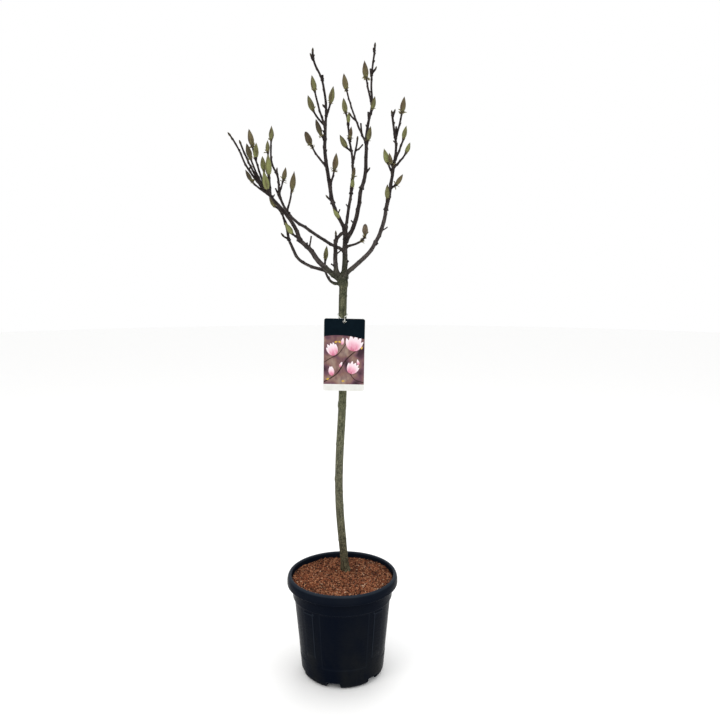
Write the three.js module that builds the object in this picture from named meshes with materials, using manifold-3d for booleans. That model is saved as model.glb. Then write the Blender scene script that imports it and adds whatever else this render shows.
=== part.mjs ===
// A magnolia grafted as a standard: one clear stem with a head of bare twigs in winter bud, in a
// nursery container filled with bark compost, with a picture label hung on the stem.
// Millimetres, +Z up, +X to the right, +Y to the back. The origin is the middle of the flat
// underside of the container.

import * as THREE from 'three';
import { mergeVertices } from 'three/addons/utils/BufferGeometryUtils.js';
import Module from 'manifold-3d';

const wasm = await Module();
wasm.setup();

// ---- Driving dimensions ----

const GAP = 0.4;                   // air kept between neighbouring solids
const SEED = 41;                   // starts every random draw

// The container is turned round the origin.
const POT = {
  height: 303,
  sides: 48,
  wall: 3,
  floor: 4,
  foot: { radius: 112, roll: 6, rise: 16, thick: 32, ledge: 22 },
  side: { low: 125, high: 145.3 }, // radius of the sloping wall above its foot and below its collar
  collar: { radius: 149.5, low: 238, high: 274, step: 5 },
  lip: { radius: 166, under: 1.5, edge: 279, shoulder: 284, crest: 158, inner: 153 },
};

// Broad upright ribs on the wall, and drain notches round the foot.
const RIB = { count: 4, width: 34, proud: 1.8, sunk: 1.5, low: 80, fade: 12, high: 230, firstBearing: 48 };
const NOTCH = { count: 6, width: 42, height: 19, reach: 28, firstBearing: 258 };

const COMPOST = { edgeHeight: 284, crownHeight: 287, crownRadius: 110 };

// Leans are degrees off upright, to the right and to the back, at even steps along a limb.
const TRUNK = {
  name: 'trunk',
  foot: [8, 45],                   // where it leaves the compost
  length: 900,
  girth: [24.5, 23],
  right: [-5, -5, 1, 4, 1, -1, 4],
  back: [-2.7, -2.7],
  flare: { girth: 30, height: 45 },
  graft: { girth: 27, from: 0.968, to: 0.995 },
};

const BOUGHS = [
  { name: 'centre_leader', from: 'trunk', at: 0.997, length: 148, girth: [17, 12.5],
    right: [6, 0, 1], back: [2, 2] },
  { name: 'left_bough', from: 'trunk', at: 0.982, length: 175, girth: [17, 12],
    right: [-46, -52, -33, -56], back: [-12, -12] },
  { name: 'right_bough', from: 'trunk', at: 0.994, length: 245, girth: [13.5, 10],
    right: [20, 53, 46, 29, 19, 4], back: [-38, -12] },
  { name: 'second_leader', from: 'trunk', at: 0.985, length: 125, girth: [15, 10.5],
    right: [-44, -14, 5, -3], back: [-14, -14] },
  { name: 'low_left_bough', from: 'trunk', at: 0.994, length: 204, girth: [10, 8],
    right: [-40, -77, -73, -65, -23, -26], back: [6, 4] },
  { name: 'long_left_bough', from: 'centre_leader', at: 0.53, length: 225, girth: [9.5, 8],
    right: [-64, -61, -54, -59, -36], back: [42, 38] },
  { name: 'front_bough', from: 'centre_leader', at: 0.94, length: 85, girth: [11, 10],
    right: [-28, -29, -16], back: [-30, -24] },
  { name: 'rear_bough', from: 'centre_leader', at: 0.96, length: 120, girth: [9.5, 8.5],
    right: [11, 7, 10], back: [32, 26] },
  { name: 'tall_bough', from: 'centre_leader', at: 0.72, length: 160, girth: [12.5, 11],
    right: [42, 21, 15, 6, 11], back: [10, 8] },
];

const TWIG = { girth: 6.2, tipGirth: 4.8, ease: 0.55 };
const SPUR = { spacing: 44, turn: 144, lean: 58, shortest: 3, longest: 9, girth: 4, tipGirth: 3.2,
  uneven: 0.25 };
const BUD = { widthByLength: 0.4, widest: 17.5, ease: 0.8, rise: 0.5 };

// One side shoot: how far up its stem, its two leans at the foot, its length and its bud's length.
const shoot = (at, right, back, length, bud = 0, side = []) => ({ at, right, back, length, bud, side });

const MASSES = [
  { name: 'left_twigs', from: 'left_bough', length: 345, girth: [12, 6], bud: 0,
    right: [-11, -37, -43, -39, -21, -38], back: [-20, -8],
    shoots: [
      shoot(0.02, -72, -35, 25, 37),
      shoot(0.42, -7, 25, 138, 31),
      shoot(0.44, -18, -45, 20, 50),
      shoot(0.44, 1, -12, 55, 53),
      shoot(0.46, -24, 20, 149, 44, [shoot(0.68, 5, -12, 9, 38)]),
      shoot(0.47, -31, -15, 101, 36),
      shoot(0.45, -66, -30, 60, 30),
      shoot(0.46, -12, 12, 66, 37),
      shoot(0.50, -33, -14, 141),
    ] },
  { name: 'low_left_twigs', from: 'low_left_bough', length: 109, girth: [8, 5.2], bud: 28,
    right: [-11, -9, -16, -31, -62], back: [-4, -4],
    shoots: [
      shoot(0.04, -72, -10, 28),
      shoot(0.42, -22, 15, 38),
    ] },
  { name: 'long_left_twigs', from: 'long_left_bough', length: 257, girth: [8, 5.4], bud: 40,
    right: [-39, -23, 0, -30, -2, 4], back: [30, 8],
    shoots: [
      shoot(0.04, 18, -5, 68, 52),
      shoot(0.23, -35, 20, 36),
      shoot(0.32, 22, 25, 46, 36),
      shoot(0.55, 2, 0, 20),
    ] },
  { name: 'front_twigs', from: 'front_bough', length: 405, girth: [10, 5.6], bud: 0,
    right: [-13, -7, -10, 0, 6, -1, -11, -30, 8], back: [-20, -5],
    shoots: [
      shoot(0.02, -66, -20, 24),
      shoot(0.12, 22, -30, 53, 40),
      shoot(0.25, -47, -20, 76, 33),
      shoot(0.42, -44, -35, 23, 38),
      shoot(0.51, -48, 15, 58, 41),
      shoot(0.50, -21, -15, 100, 37),
      shoot(0.57, 26, -20, 40, 40),
      shoot(0.63, -75, 20, 12),
      shoot(0.79, 6, 0, 15),
      shoot(0.93, -42, -10, 18),
    ] },
  { name: 'rear_twigs', from: 'rear_bough', length: 258, girth: [8.5, 5.2], bud: 41,
    right: [3, 6, -5, -10, -3, -18], back: [24, 7],
    shoots: [
      shoot(0.03, 15, 30, 12, 33),
      shoot(0.16, 19, -15, 15, 27),
      shoot(0.38, 14, 15, 84, 0, [shoot(0.46, 62, 20, 30)]),
      shoot(0.53, -65, 25, 22, 41),
      shoot(0.65, 10, 15, 13, 32),
      shoot(0.84, 4, -35, 9, 28),
    ] },
  { name: 'tall_twigs', from: 'tall_bough', length: 405, girth: [11, 5], bud: 0,
    right: [22, 1, 1, 15, -5, 8, 5], back: [6, -4],
    shoots: [
      shoot(0.12, 60, -20, 19),
      shoot(0.31, 27, -25, 17, 37),
      shoot(0.32, -24, 38, 212, 50, [shoot(0.16, -9, -10, 34), shoot(0.45, -55, 30, 33)]),
      shoot(0.49, -12, -15, 19),
      shoot(0.52, 28, -30, 20, 32),
      shoot(0.59, -15, 20, 87, 48),
      shoot(0.78, -14, 10, 21),
      shoot(0.80, 51, -10, 22),
      shoot(0.94, -23, 0, 12),
    ] },
  { name: 'right_twigs', from: 'right_bough', length: 260, girth: [10.5, 5.4], bud: 0,
    right: [15, 8, 10, -10, -7], back: [-10, -2],
    shoots: [
      shoot(0.08, -4, -20, 14, 35),
      shoot(0.23, 75, -25, 21, 30),
      shoot(0.38, -32, 20, 34, 38),
      shoot(0.42, -29, -30, 19, 26),
      shoot(0.44, 51, 25, 57, 28),
      shoot(0.51, 28, -15, 62, 31),
      shoot(0.72, 18, 10, 77, 38),
      shoot(0.73, 7, 25, 33),
      shoot(0.94, 30, 0, 20),
    ] },
  { name: 'second_leader_twigs', from: 'second_leader', length: 51, girth: [10, 8.4], bud: 0,
    right: [30, 50, 34], back: [12, 40],
    shoots: [shoot(0.12, -6, -12, 24)] },
  { name: 'low_spur', from: 'trunk', at: 0.98, length: 114, girth: [9, 5.5], bud: 38,
    right: [-84, -84, -37, -19, 0, 9], back: [45, 10],
    shoots: [shoot(0.8, -40, 10, 12)] },
  { name: 'right_spur', from: 'centre_leader', at: 0.605, length: 76, girth: [7.5, 5.6], bud: 29,
    right: [72, 76, 54, 0], back: [-40, -10],
    shoots: [shoot(0.97, 72, -10, 10)] },
  { name: 'front_spur', from: 'front_bough', at: 0.22, length: 24, girth: [5.6, 5], bud: 34,
    right: [-22, -36], back: [-45, -25], shoots: [] },
];

const LABEL = { width: 118, height: 210, thick: 1, corner: 6, top: 1069, middle: 9, back: -6.4, roll: 1.1,
  hole: { radius: 3.5, below: 9 } };

// A flat-lying strap: through the card's hole, over its top edge and round behind the stem.
const LOOP = { girth: 1.7, rise: 22, clear: 2.6, rings: 44, sides: 4 };

// ---- Solids ----

function seededRandom(seed) {
  let state = seed;
  return () => {
    state = (state * 1664525 + 1013904223) % 4294967296;
    return state / 4294967296;
  };
}

const radians = THREE.MathUtils.degToRad;
const degrees = THREE.MathUtils.radToDeg;

// Joins a closed geometry's shared corners, drops its collapsed faces and makes a solid of it.
function solidOf(geometry) {
  const bare = geometry.clone();
  bare.deleteAttribute('normal');
  bare.deleteAttribute('uv');
  const welded = mergeVertices(bare, 1e-4);
  const corners = welded.index.array;
  const faces = [];
  for (let i = 0; i < corners.length; i += 3) {
    const [a, b, c] = corners.slice(i, i + 3);
    if (a !== b && b !== c && c !== a) faces.push(a, b, c);
  }
  const mesh = new wasm.Mesh({
    numProp: 3,
    vertProperties: new Float32Array(welded.attributes.position.array),
    triVerts: new Uint32Array(faces),
  });
  return new wasm.Manifold(mesh);
}

function geometryOf(solid) {
  const mesh = solid.getMesh();
  const geometry = new THREE.BufferGeometry();
  geometry.setAttribute('position', new THREE.BufferAttribute(mesh.vertProperties, 3));
  geometry.setIndex(new THREE.BufferAttribute(mesh.triVerts, 1));
  geometry.computeVertexNormals();
  return geometry;
}

const volumeOf = (solid) => (solid.isEmpty() ? 0 : solid.volume());

// The largest piece of a solid that a cut may have split.
function largestOf(solid) {
  return solid.decompose().reduce((best, piece) => (volumeOf(piece) > volumeOf(best) ? piece : best));
}

const unionOf = (solids) => solids.reduce((whole, solid) => whole.add(solid));

// ---- Limbs ----

const FINE_STEP = 4;               // length of one step while a limb is worked out
const RING_SPACING = 28;           // length between the rings of corners on a limb

// A value taken from a short list that is spread evenly from 0 to 1.
function spread(values, t) {
  const place = THREE.MathUtils.clamp(t, 0, 1) * (values.length - 1);
  const low = Math.min(Math.floor(place), values.length - 2);
  return THREE.MathUtils.lerp(values[low], values[low + 1], place - low);
}

function heading(right, back) {
  return new THREE.Vector3(Math.tan(radians(right)), Math.tan(radians(back)), 1).normalize();
}

// The curve of a limb that sets out from its foot and leans as its two lists say.
function growCurve(foot, length, right, back) {
  const steps = Math.max(4, Math.round(length / FINE_STEP));
  const points = [foot.clone()];
  for (let i = 0; i < steps; i += 1) {
    const t = (i + 0.5) / steps;
    const onward = heading(spread(right, t), spread(back, t)).multiplyScalar(length / steps);
    points.push(points[i].clone().add(onward));
  }
  return new THREE.CatmullRomCurve3(points);
}

// A closed tapering tube: a cylinder's rings set square on the curve. More than 0, swell makes it
// that much fatter and longer, for the air round it.
function tube(curve, radiusAt, sides, rings, swell = 0) {
  const blank = new THREE.CylinderGeometry(1, 1, 1, sides, rings);
  const frames = curve.computeFrenetFrames(rings);
  const corner = blank.attributes.position;
  for (let i = 0; i < corner.count; i += 1) {
    const ring = Math.round((corner.getY(i) + 0.5) * rings);
    const along = ring / rings;
    const radius = radiusAt(along) + swell;
    const centre = curve.getPointAt(along);
    if (ring === 0) centre.addScaledVector(frames.tangents[0], -swell);
    if (ring === rings) centre.addScaledVector(frames.tangents[rings], swell);
    centre.addScaledVector(frames.normals[ring], corner.getX(i) * radius);
    centre.addScaledVector(frames.binormals[ring], -corner.getZ(i) * radius);
    corner.setXYZ(i, centre.x, centre.y, centre.z);
  }
  return solidOf(blank);
}

const limbs = {};                  // every limb's curve and radius, by name
const placed = [];                 // the air round every finished node, which later ones keep out of

function makeLimb(limb, foot, radiusAt, sides) {
  const curve = growCurve(foot, limb.length, limb.right, limb.back);
  const rings = Math.max(2, Math.round(limb.length / RING_SPACING));
  limbs[limb.name] = { curve, radiusAt };
  return {
    solid: tube(curve, radiusAt, sides, rings),
    air: tube(curve, radiusAt, sides, rings, GAP),
  };
}

// Cuts a solid clear of all that is there already, and keeps its largest piece.
function place(solid, air) {
  const whole = largestOf(placed.reduce((rest, other) => rest.subtract(other), solid));
  placed.push(air);
  return whole;
}

const taper = ([foot, tip]) => (t) => THREE.MathUtils.lerp(foot, tip, t) / 2;

// The stem's own taper, with a root flare at its foot and the swollen graft under its fork.
function trunkRadius(t) {
  const { girth, length, flare, graft } = TRUNK;
  const flareShare = Math.max(0, 1 - (t * length) / flare.height) ** 2;
  const alongGraft = THREE.MathUtils.clamp((t - graft.from) / (graft.to - graft.from), 0, 1);
  const graftShare = Math.sin(Math.PI * alongGraft);
  const plain = taper(girth)(t);
  return plain + (flare.girth / 2 - plain) * flareShare + (graft.girth / 2 - plain) * graftShare;
}

// ---- Twigs and buds ----

const BUD_SIDES = 6;
const BUD_OUTLINE = [[0, 0], [0.42, 0], [0.82, 0.2], [1, 0.42], [0.68, 0.74], [0, 1]];

function bud(foot, axis, length) {
  const radius = Math.min(length * BUD.widthByLength, BUD.widest) / 2;
  const outline = BUD_OUTLINE.map(([across, along]) => new THREE.Vector2(across * radius, along * length));
  const shape = new THREE.LatheGeometry(outline, BUD_SIDES);
  shape.applyQuaternion(new THREE.Quaternion().setFromUnitVectors(new THREE.Vector3(0, 1, 0), axis));
  shape.translate(foot.x, foot.y, foot.z);
  return solidOf(shape);
}

// A shoot leans less and less as it grows, and its bud less still.
function makeShoot(stemCurve, side, girths, sides) {
  const foot = stemCurve.getPointAt(side.at);
  const right = [side.right, side.right * TWIG.ease];
  const back = [side.back, side.back * TWIG.ease];
  const curve = growCurve(foot, side.length, right, back);
  const rings = Math.max(1, Math.round(side.length / RING_SPACING));
  const solids = [tube(curve, taper(girths), sides, rings)];
  if (side.bud > 0) {
    const axis = heading(right[1] * BUD.ease, back[1] * BUD.ease);
    solids.push(bud(curve.getPointAt(1).addScaledVector(axis, -1), axis, side.bud));
  }
  side.side.forEach((twig) => solids.push(makeShoot(curve, twig, [TWIG.tipGirth, TWIG.tipGirth], 4)));
  return unionOf(solids);
}

// Short spurs round a stem, each turned from the last by two fifths of a turn as the leaves were.
function* spursOn(mass, random) {
  const uneven = () => 1 + (random() * 2 - 1) * SPUR.uneven;
  let bearing = random() * 360;
  let along = SPUR.spacing * uneven();
  while (along < mass.length - SPUR.longest) {
    const slope = Math.tan(radians(SPUR.lean * uneven()));
    const right = degrees(Math.atan(slope * Math.cos(radians(bearing))));
    const back = degrees(Math.atan(slope * Math.sin(radians(bearing))));
    const sunk = spread(mass.girth, along / mass.length) / 2;
    const proud = THREE.MathUtils.lerp(SPUR.shortest, SPUR.longest, random());
    yield shoot(along / mass.length, right, back, sunk + proud);
    bearing += SPUR.turn;
    along += SPUR.spacing * uneven();
  }
}

// One mass: a stem, its shoots with their buds, and spurs. What would touch another node is left off.
function makeMass(mass, random) {
  const parent = limbs[mass.from];
  const stem = makeLimb(mass, parent.curve.getPointAt(mass.at ?? 1), taper(mass.girth), 6);
  const { curve } = limbs[mass.name];
  const isClear = (solid) => placed.every((air) => volumeOf(air.intersect(solid)) === 0);
  const parts = [stem.solid];
  if (mass.bud > 0) {
    const axis = curve.getTangentAt(1).lerp(new THREE.Vector3(0, 0, 1), BUD.rise).normalize();
    parts.push(bud(curve.getPointAt(1).addScaledVector(axis, -1), axis, mass.bud));
  }
  for (const side of mass.shoots) {
    const twig = makeShoot(curve, side, [TWIG.girth, TWIG.tipGirth], 4);
    if (isClear(twig)) parts.push(twig);
  }
  for (const spur of spursOn(mass, random)) {
    const twig = makeShoot(curve, spur, [SPUR.girth, SPUR.tipGirth], 3);
    if (isClear(twig)) parts.push(twig);
  }
  return unionOf(parts);
}

// ---- Container, compost and label ----

// The container's inside from its floor to its lip, as pairs of radius and height.
const INSIDE = [
  [POT.foot.radius - POT.foot.thick, POT.floor],
  [POT.foot.radius - POT.foot.thick, POT.foot.ledge],
  [POT.side.low - POT.wall, POT.foot.ledge + POT.foot.roll],
  [POT.side.high - POT.wall, POT.collar.low - POT.collar.step],
  [POT.collar.radius - POT.wall, POT.collar.low + POT.wall],
  [POT.collar.radius - POT.wall, POT.collar.high],
  [POT.lip.inner, POT.lip.edge + POT.wall],
  [POT.lip.inner, POT.height - POT.wall * 2],
];

function turned(outline) {
  const corners = outline.map(([across, up]) => new THREE.Vector2(across, up));
  const shape = new THREE.LatheGeometry(corners, POT.sides);
  shape.rotateX(Math.PI / 2);
  return solidOf(shape);
}

// A quarter of an ellipse from its widest level up to its crest.
function quarterRound(wide, low, narrow, high, steps) {
  return Array.from({ length: steps + 1 }, (_, i) => {
    const angle = (i / steps) * (Math.PI / 2);
    return [narrow + (wide - narrow) * Math.cos(angle), low + (high - low) * Math.sin(angle)];
  });
}

// The outer wall from above its foot to the top of its collar.
const WALL = [
  [POT.side.low, POT.foot.rise], [POT.side.high, POT.collar.low - POT.collar.step],
  [POT.collar.radius, POT.collar.low], [POT.collar.radius, POT.collar.high],
];

function potShell() {
  const { height, floor, foot, side, collar, lip } = POT;
  const outside = [
    [0, 0], [foot.radius, 0], [foot.radius + foot.roll, foot.roll / 2],
    [side.low - foot.roll / 3, foot.rise / 2], ...WALL,
    [lip.radius - lip.under, collar.high + lip.under], [lip.radius, lip.edge],
    ...quarterRound(lip.radius, lip.shoulder, lip.crest, height, 4), [lip.inner + 1, height - POT.wall / 2],
  ];
  return turned([...outside, ...[...INSIDE].reverse(), [0, floor]]);
}

// A box set round the container's axis, its near face at a distance along a bearing.
function boxRound(bearing, near, deep, wide, low, high) {
  const box = new THREE.BoxGeometry(deep, wide, high - low);
  box.translate(near + deep / 2, 0, (low + high) / 2);
  box.rotateZ(radians(bearing));
  return solidOf(box);
}

const wallRadius = (up) => {
  const above = WALL.findIndex(([, level]) => level >= up);
  const [[lowRadius, low], [highRadius, high]] = [WALL[above - 1], WALL[above]];
  return THREE.MathUtils.mapLinear(up, low, high, lowRadius, highRadius);
};

// The ribs are cut from a band round the wall that stands proud of it and fades out at its foot.
function makeRibs() {
  const { count, width, proud, sunk, low, fade, high, firstBearing } = RIB;
  const levels = [low, low + fade, ...WALL.map(([, up]) => up).filter((up) => up > low && up < high), high];
  const outer = levels.map((up) => [wallRadius(up) + (up === low ? 0 : proud), up]);
  const inner = levels.map((up) => [wallRadius(up) - sunk, up]);
  const blocks = Array.from({ length: count }, (_, i) => (
    boxRound(firstBearing + (i * 360) / count, POT.foot.radius, POT.foot.radius, width, 0, POT.height)
  ));
  return turned([inner[0], ...outer, ...inner.reverse()]).intersect(unionOf(blocks));
}

function makePot() {
  const { count, width, height, reach, firstBearing } = NOTCH;
  const cuts = Array.from({ length: count }, (_, i) => (
    boxRound(firstBearing + (i * 360) / count, POT.foot.radius - reach, reach * 3, width, -height, height)
  ));
  return potShell().add(makeRibs()).subtract(unionOf(cuts));
}

function makeCompost() {
  const inset = GAP * 1.5;
  const { edgeHeight, crownHeight, crownRadius } = COMPOST;
  const inside = INSIDE.filter(([, up]) => up < edgeHeight)
    .map(([across, up]) => [across - inset, up + GAP]);
  const edge = POT.lip.inner - inset;
  return turned([
    [0, POT.floor + GAP], ...inside, [edge, edgeHeight], [crownRadius, crownHeight], [0, crownHeight],
  ]);
}

function makeLabel() {
  const { width, height, corner, hole } = LABEL;
  const card = new THREE.Shape();
  card.moveTo(-width / 2 + corner, 0);
  card.lineTo(width / 2 - corner, 0);
  card.absarc(width / 2 - corner, -corner, corner, Math.PI / 2, 0, true);
  card.absarc(width / 2 - corner, corner - height, corner, 0, -Math.PI / 2, true);
  card.absarc(corner - width / 2, corner - height, corner, -Math.PI / 2, -Math.PI, true);
  card.absarc(corner - width / 2, -corner, corner, Math.PI, Math.PI / 2, true);
  card.holes.push(new THREE.Path().absarc(0, -hole.below, hole.radius, 0, Math.PI * 2));
  const options = { depth: LABEL.thick, bevelEnabled: false, curveSegments: 4 };
  const sheet = new THREE.ExtrudeGeometry(card, options);
  sheet.rotateX(Math.PI / 2);
  sheet.rotateY(radians(LABEL.roll));
  sheet.translate(LABEL.middle, LABEL.back, LABEL.top);
  return solidOf(sheet);
}

// The strap's closed centre line, from the front of the card's hole round the stem to its back.
function loopCurve() {
  const eye = LABEL.top - LABEL.hole.below;
  const at = LABEL.middle;
  const front = LABEL.back - LABEL.thick - LOOP.girth;
  const behind = LABEL.back + LOOP.girth * 0.72;
  const stemAt = (eye + LOOP.rise - COMPOST.crownHeight) / TRUNK.length;
  const stem = limbs.trunk.curve.getPointAt(stemAt);
  const reach = trunkRadius(stemAt) + LOOP.clear;
  const points = [
    [at, front, eye + 1], [at, front - 0.4, eye + 6], [at, LABEL.back, LABEL.top + LOOP.girth * 2.8],
    [stem.x + reach * 0.75, stem.y - reach * 0.6, stem.z - 4], [stem.x + reach, stem.y, stem.z],
    [stem.x, stem.y + reach, stem.z + 3], [stem.x - reach, stem.y, stem.z],
    [stem.x - reach * 0.55, stem.y - reach * 0.85, stem.z - 8], [at - 1, behind, eye + 1],
    [at, LABEL.back - LABEL.thick / 2, eye - 0.6],
  ];
  return new THREE.CatmullRomCurve3(points.map((point) => new THREE.Vector3(...point)), true);
}

// A ring's corners set square on the strap's curve.
function makeLoop() {
  const { girth, rings, sides } = LOOP;
  const curve = loopCurve();
  const ring = new THREE.TorusGeometry(1, 0.5, sides, rings);
  const frames = curve.computeFrenetFrames(rings, true);
  const corner = ring.attributes.position;
  const perSide = rings + 1;
  for (let i = 0; i < corner.count; i += 1) {
    const step = (i % perSide) % rings;
    const turn = ((Math.floor(i / perSide) % sides) / sides) * Math.PI * 2;
    const centre = curve.getPointAt(step / rings);
    centre.addScaledVector(frames.normals[step], (Math.cos(turn) * girth) / 2);
    centre.addScaledVector(frames.binormals[step], (-Math.sin(turn) * girth) / 2);
    corner.setXYZ(i, centre.x, centre.y, centre.z);
  }
  return solidOf(ring);
}

// ---- Assembly ----

const paint = (color, roughness) => new THREE.MeshStandardMaterial({ color, roughness, metalness: 0 });
const MATERIALS = {
  plastic: paint(0x171a21, 0.45),
  compost: paint(0x7a3f26, 0.95),
  bark: paint(0x5f5f48, 0.85),
  wood: paint(0x4a3f38, 0.8),
  twig: paint(0x5a4a3a, 0.75),
  card: paint(0x3a3234, 0.4),
  strap: paint(0xd8d4cc, 0.5),
};

const tree = new THREE.Group();

function addPart(name, solid, material) {
  const mesh = new THREE.Mesh(geometryOf(solid), MATERIALS[material]);
  mesh.name = name;
  tree.add(mesh);
}

addPart('pot', makePot(), 'plastic');
addPart('compost', makeCompost(), 'compost');

// The trunk is cut flat just above the compost.
const groundLevel = COMPOST.crownHeight + GAP;
const ground = boxRound(0, -POT.height, POT.height * 2, POT.height * 2, 0, groundLevel);
const trunkFoot = new THREE.Vector3(...TRUNK.foot, COMPOST.crownHeight);
const trunk = makeLimb(TRUNK, trunkFoot, trunkRadius, 12);
addPart('trunk', place(trunk.solid.subtract(ground), trunk.air), 'bark');

for (const bough of BOUGHS) {
  const foot = limbs[bough.from].curve.getPointAt(bough.at);
  const limb = makeLimb(bough, foot, taper(bough.girth), 8);
  addPart(bough.name, place(limb.solid, limb.air), 'wood');
}

MASSES.forEach((mass, index) => {
  const whole = makeMass(mass, seededRandom(SEED + index));
  addPart(mass.name, place(whole, whole), 'twig');
});

addPart('label_card', makeLabel(), 'card');
addPart('label_loop', makeLoop(), 'strap');

export default tree;
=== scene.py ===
import itertools
import math
import random

import bpy
import numpy as np
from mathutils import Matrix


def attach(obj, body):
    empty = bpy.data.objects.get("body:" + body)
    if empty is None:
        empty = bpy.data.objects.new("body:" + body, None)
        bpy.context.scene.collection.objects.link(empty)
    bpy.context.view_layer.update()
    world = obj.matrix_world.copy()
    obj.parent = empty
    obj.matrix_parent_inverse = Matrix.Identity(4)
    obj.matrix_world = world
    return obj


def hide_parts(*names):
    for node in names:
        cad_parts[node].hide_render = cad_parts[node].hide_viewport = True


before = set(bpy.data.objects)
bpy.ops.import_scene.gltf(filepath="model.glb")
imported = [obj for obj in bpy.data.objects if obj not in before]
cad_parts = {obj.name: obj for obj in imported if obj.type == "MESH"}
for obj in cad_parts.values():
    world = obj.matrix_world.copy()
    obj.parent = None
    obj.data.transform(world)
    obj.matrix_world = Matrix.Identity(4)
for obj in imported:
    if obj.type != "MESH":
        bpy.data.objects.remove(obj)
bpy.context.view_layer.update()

mm = 0.001          # lengths are worked out in millimetres and made metres when a mesh is made

# camera, floor and light

studio = dict(eye=(0.053, -2.000, 1.200), pitch=7.18, lens=34.72, sensor=36.0, worldColor=(1.0, 1.0, 1.0),
              worldStrength=1.0, floorRadius=14.0, floorSides=96, floorColor=(0.97, 0.97, 0.965),
              floorRoughness=0.9, floorShine=0.1)
# each lamp: its place, the height that it looks at, its width, power and colour
lamps = dict(
    keyLamp=((-2.4, -2.2, 3.1), 1.1, 2.2, 34, (1.0, 0.985, 0.96)),
    fillLamp=((2.9, -1.5, 1.9), 1.0, 2.4, 16, (0.96, 0.98, 1.0)),
    topLamp=((0.3, 0.7, 3.9), 1.0, 2.6, 22, (1.0, 1.0, 1.0)),
    rearLamp=((0.6, 3.2, 2.2), 1.0, 2.4, 14, (1.0, 1.0, 1.0)),
)


def aimed(place, height):
    # the turns that point a lamp at a height on the plant's own axis
    x, y, z = place
    return math.atan2(math.hypot(x, y), z - height), 0.0, math.atan2(x, -y)


def makeStudio():
    cameraData = bpy.data.cameras.new("camera")
    cameraData.lens = studio["lens"]
    cameraData.sensor_width = studio["sensor"]
    camera = bpy.data.objects.new("camera", cameraData)
    camera.location = studio["eye"]
    camera.rotation_euler = (math.radians(90 - studio["pitch"]), 0, 0)
    bpy.context.scene.collection.objects.link(camera)
    bpy.context.scene.camera = camera

    for name, (place, height, size, power, color) in lamps.items():
        bpy.ops.object.light_add(type="AREA", location=place, rotation=aimed(place, height))
        light = bpy.context.object
        light.name = name
        light.data.shape = "DISK"
        light.data.size = size
        light.data.energy = power
        light.data.color = color

    world = bpy.data.worlds.new("softRoom")
    bpy.context.scene.world = world
    world.use_nodes = True
    sky = world.node_tree.nodes["Background"]
    sky.inputs["Color"].default_value = (*studio["worldColor"], 1)
    sky.inputs["Strength"].default_value = studio["worldStrength"]
    bpy.context.scene.view_settings.view_transform = "Standard"

    bpy.ops.mesh.primitive_circle_add(vertices=studio["floorSides"], radius=studio["floorRadius"],
                                      fill_type="NGON")
    floor = bpy.context.object
    floor.name = "studioFloor"
    floor.data.transform(floor.matrix_world)
    floor.matrix_world.identity()
    pale = newMaterial("paleFloor", studio["floorColor"], studio["floorRoughness"], studio["floorShine"])
    floor.data.materials.append(pale)


# materials

def newMaterial(name, color, roughness, shine, **sockets):
    # shine is the specular level
    material = bpy.data.materials.new(name)
    material.use_nodes = True
    shader = material.node_tree.nodes["Principled BSDF"]
    sockets.update({"Base Color": (*color, 1), "Roughness": roughness, "Specular IOR Level": shine})
    for socket, value in sockets.items():
        shader.inputs[socket.replace("_", " ")].default_value = value
    return material


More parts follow.
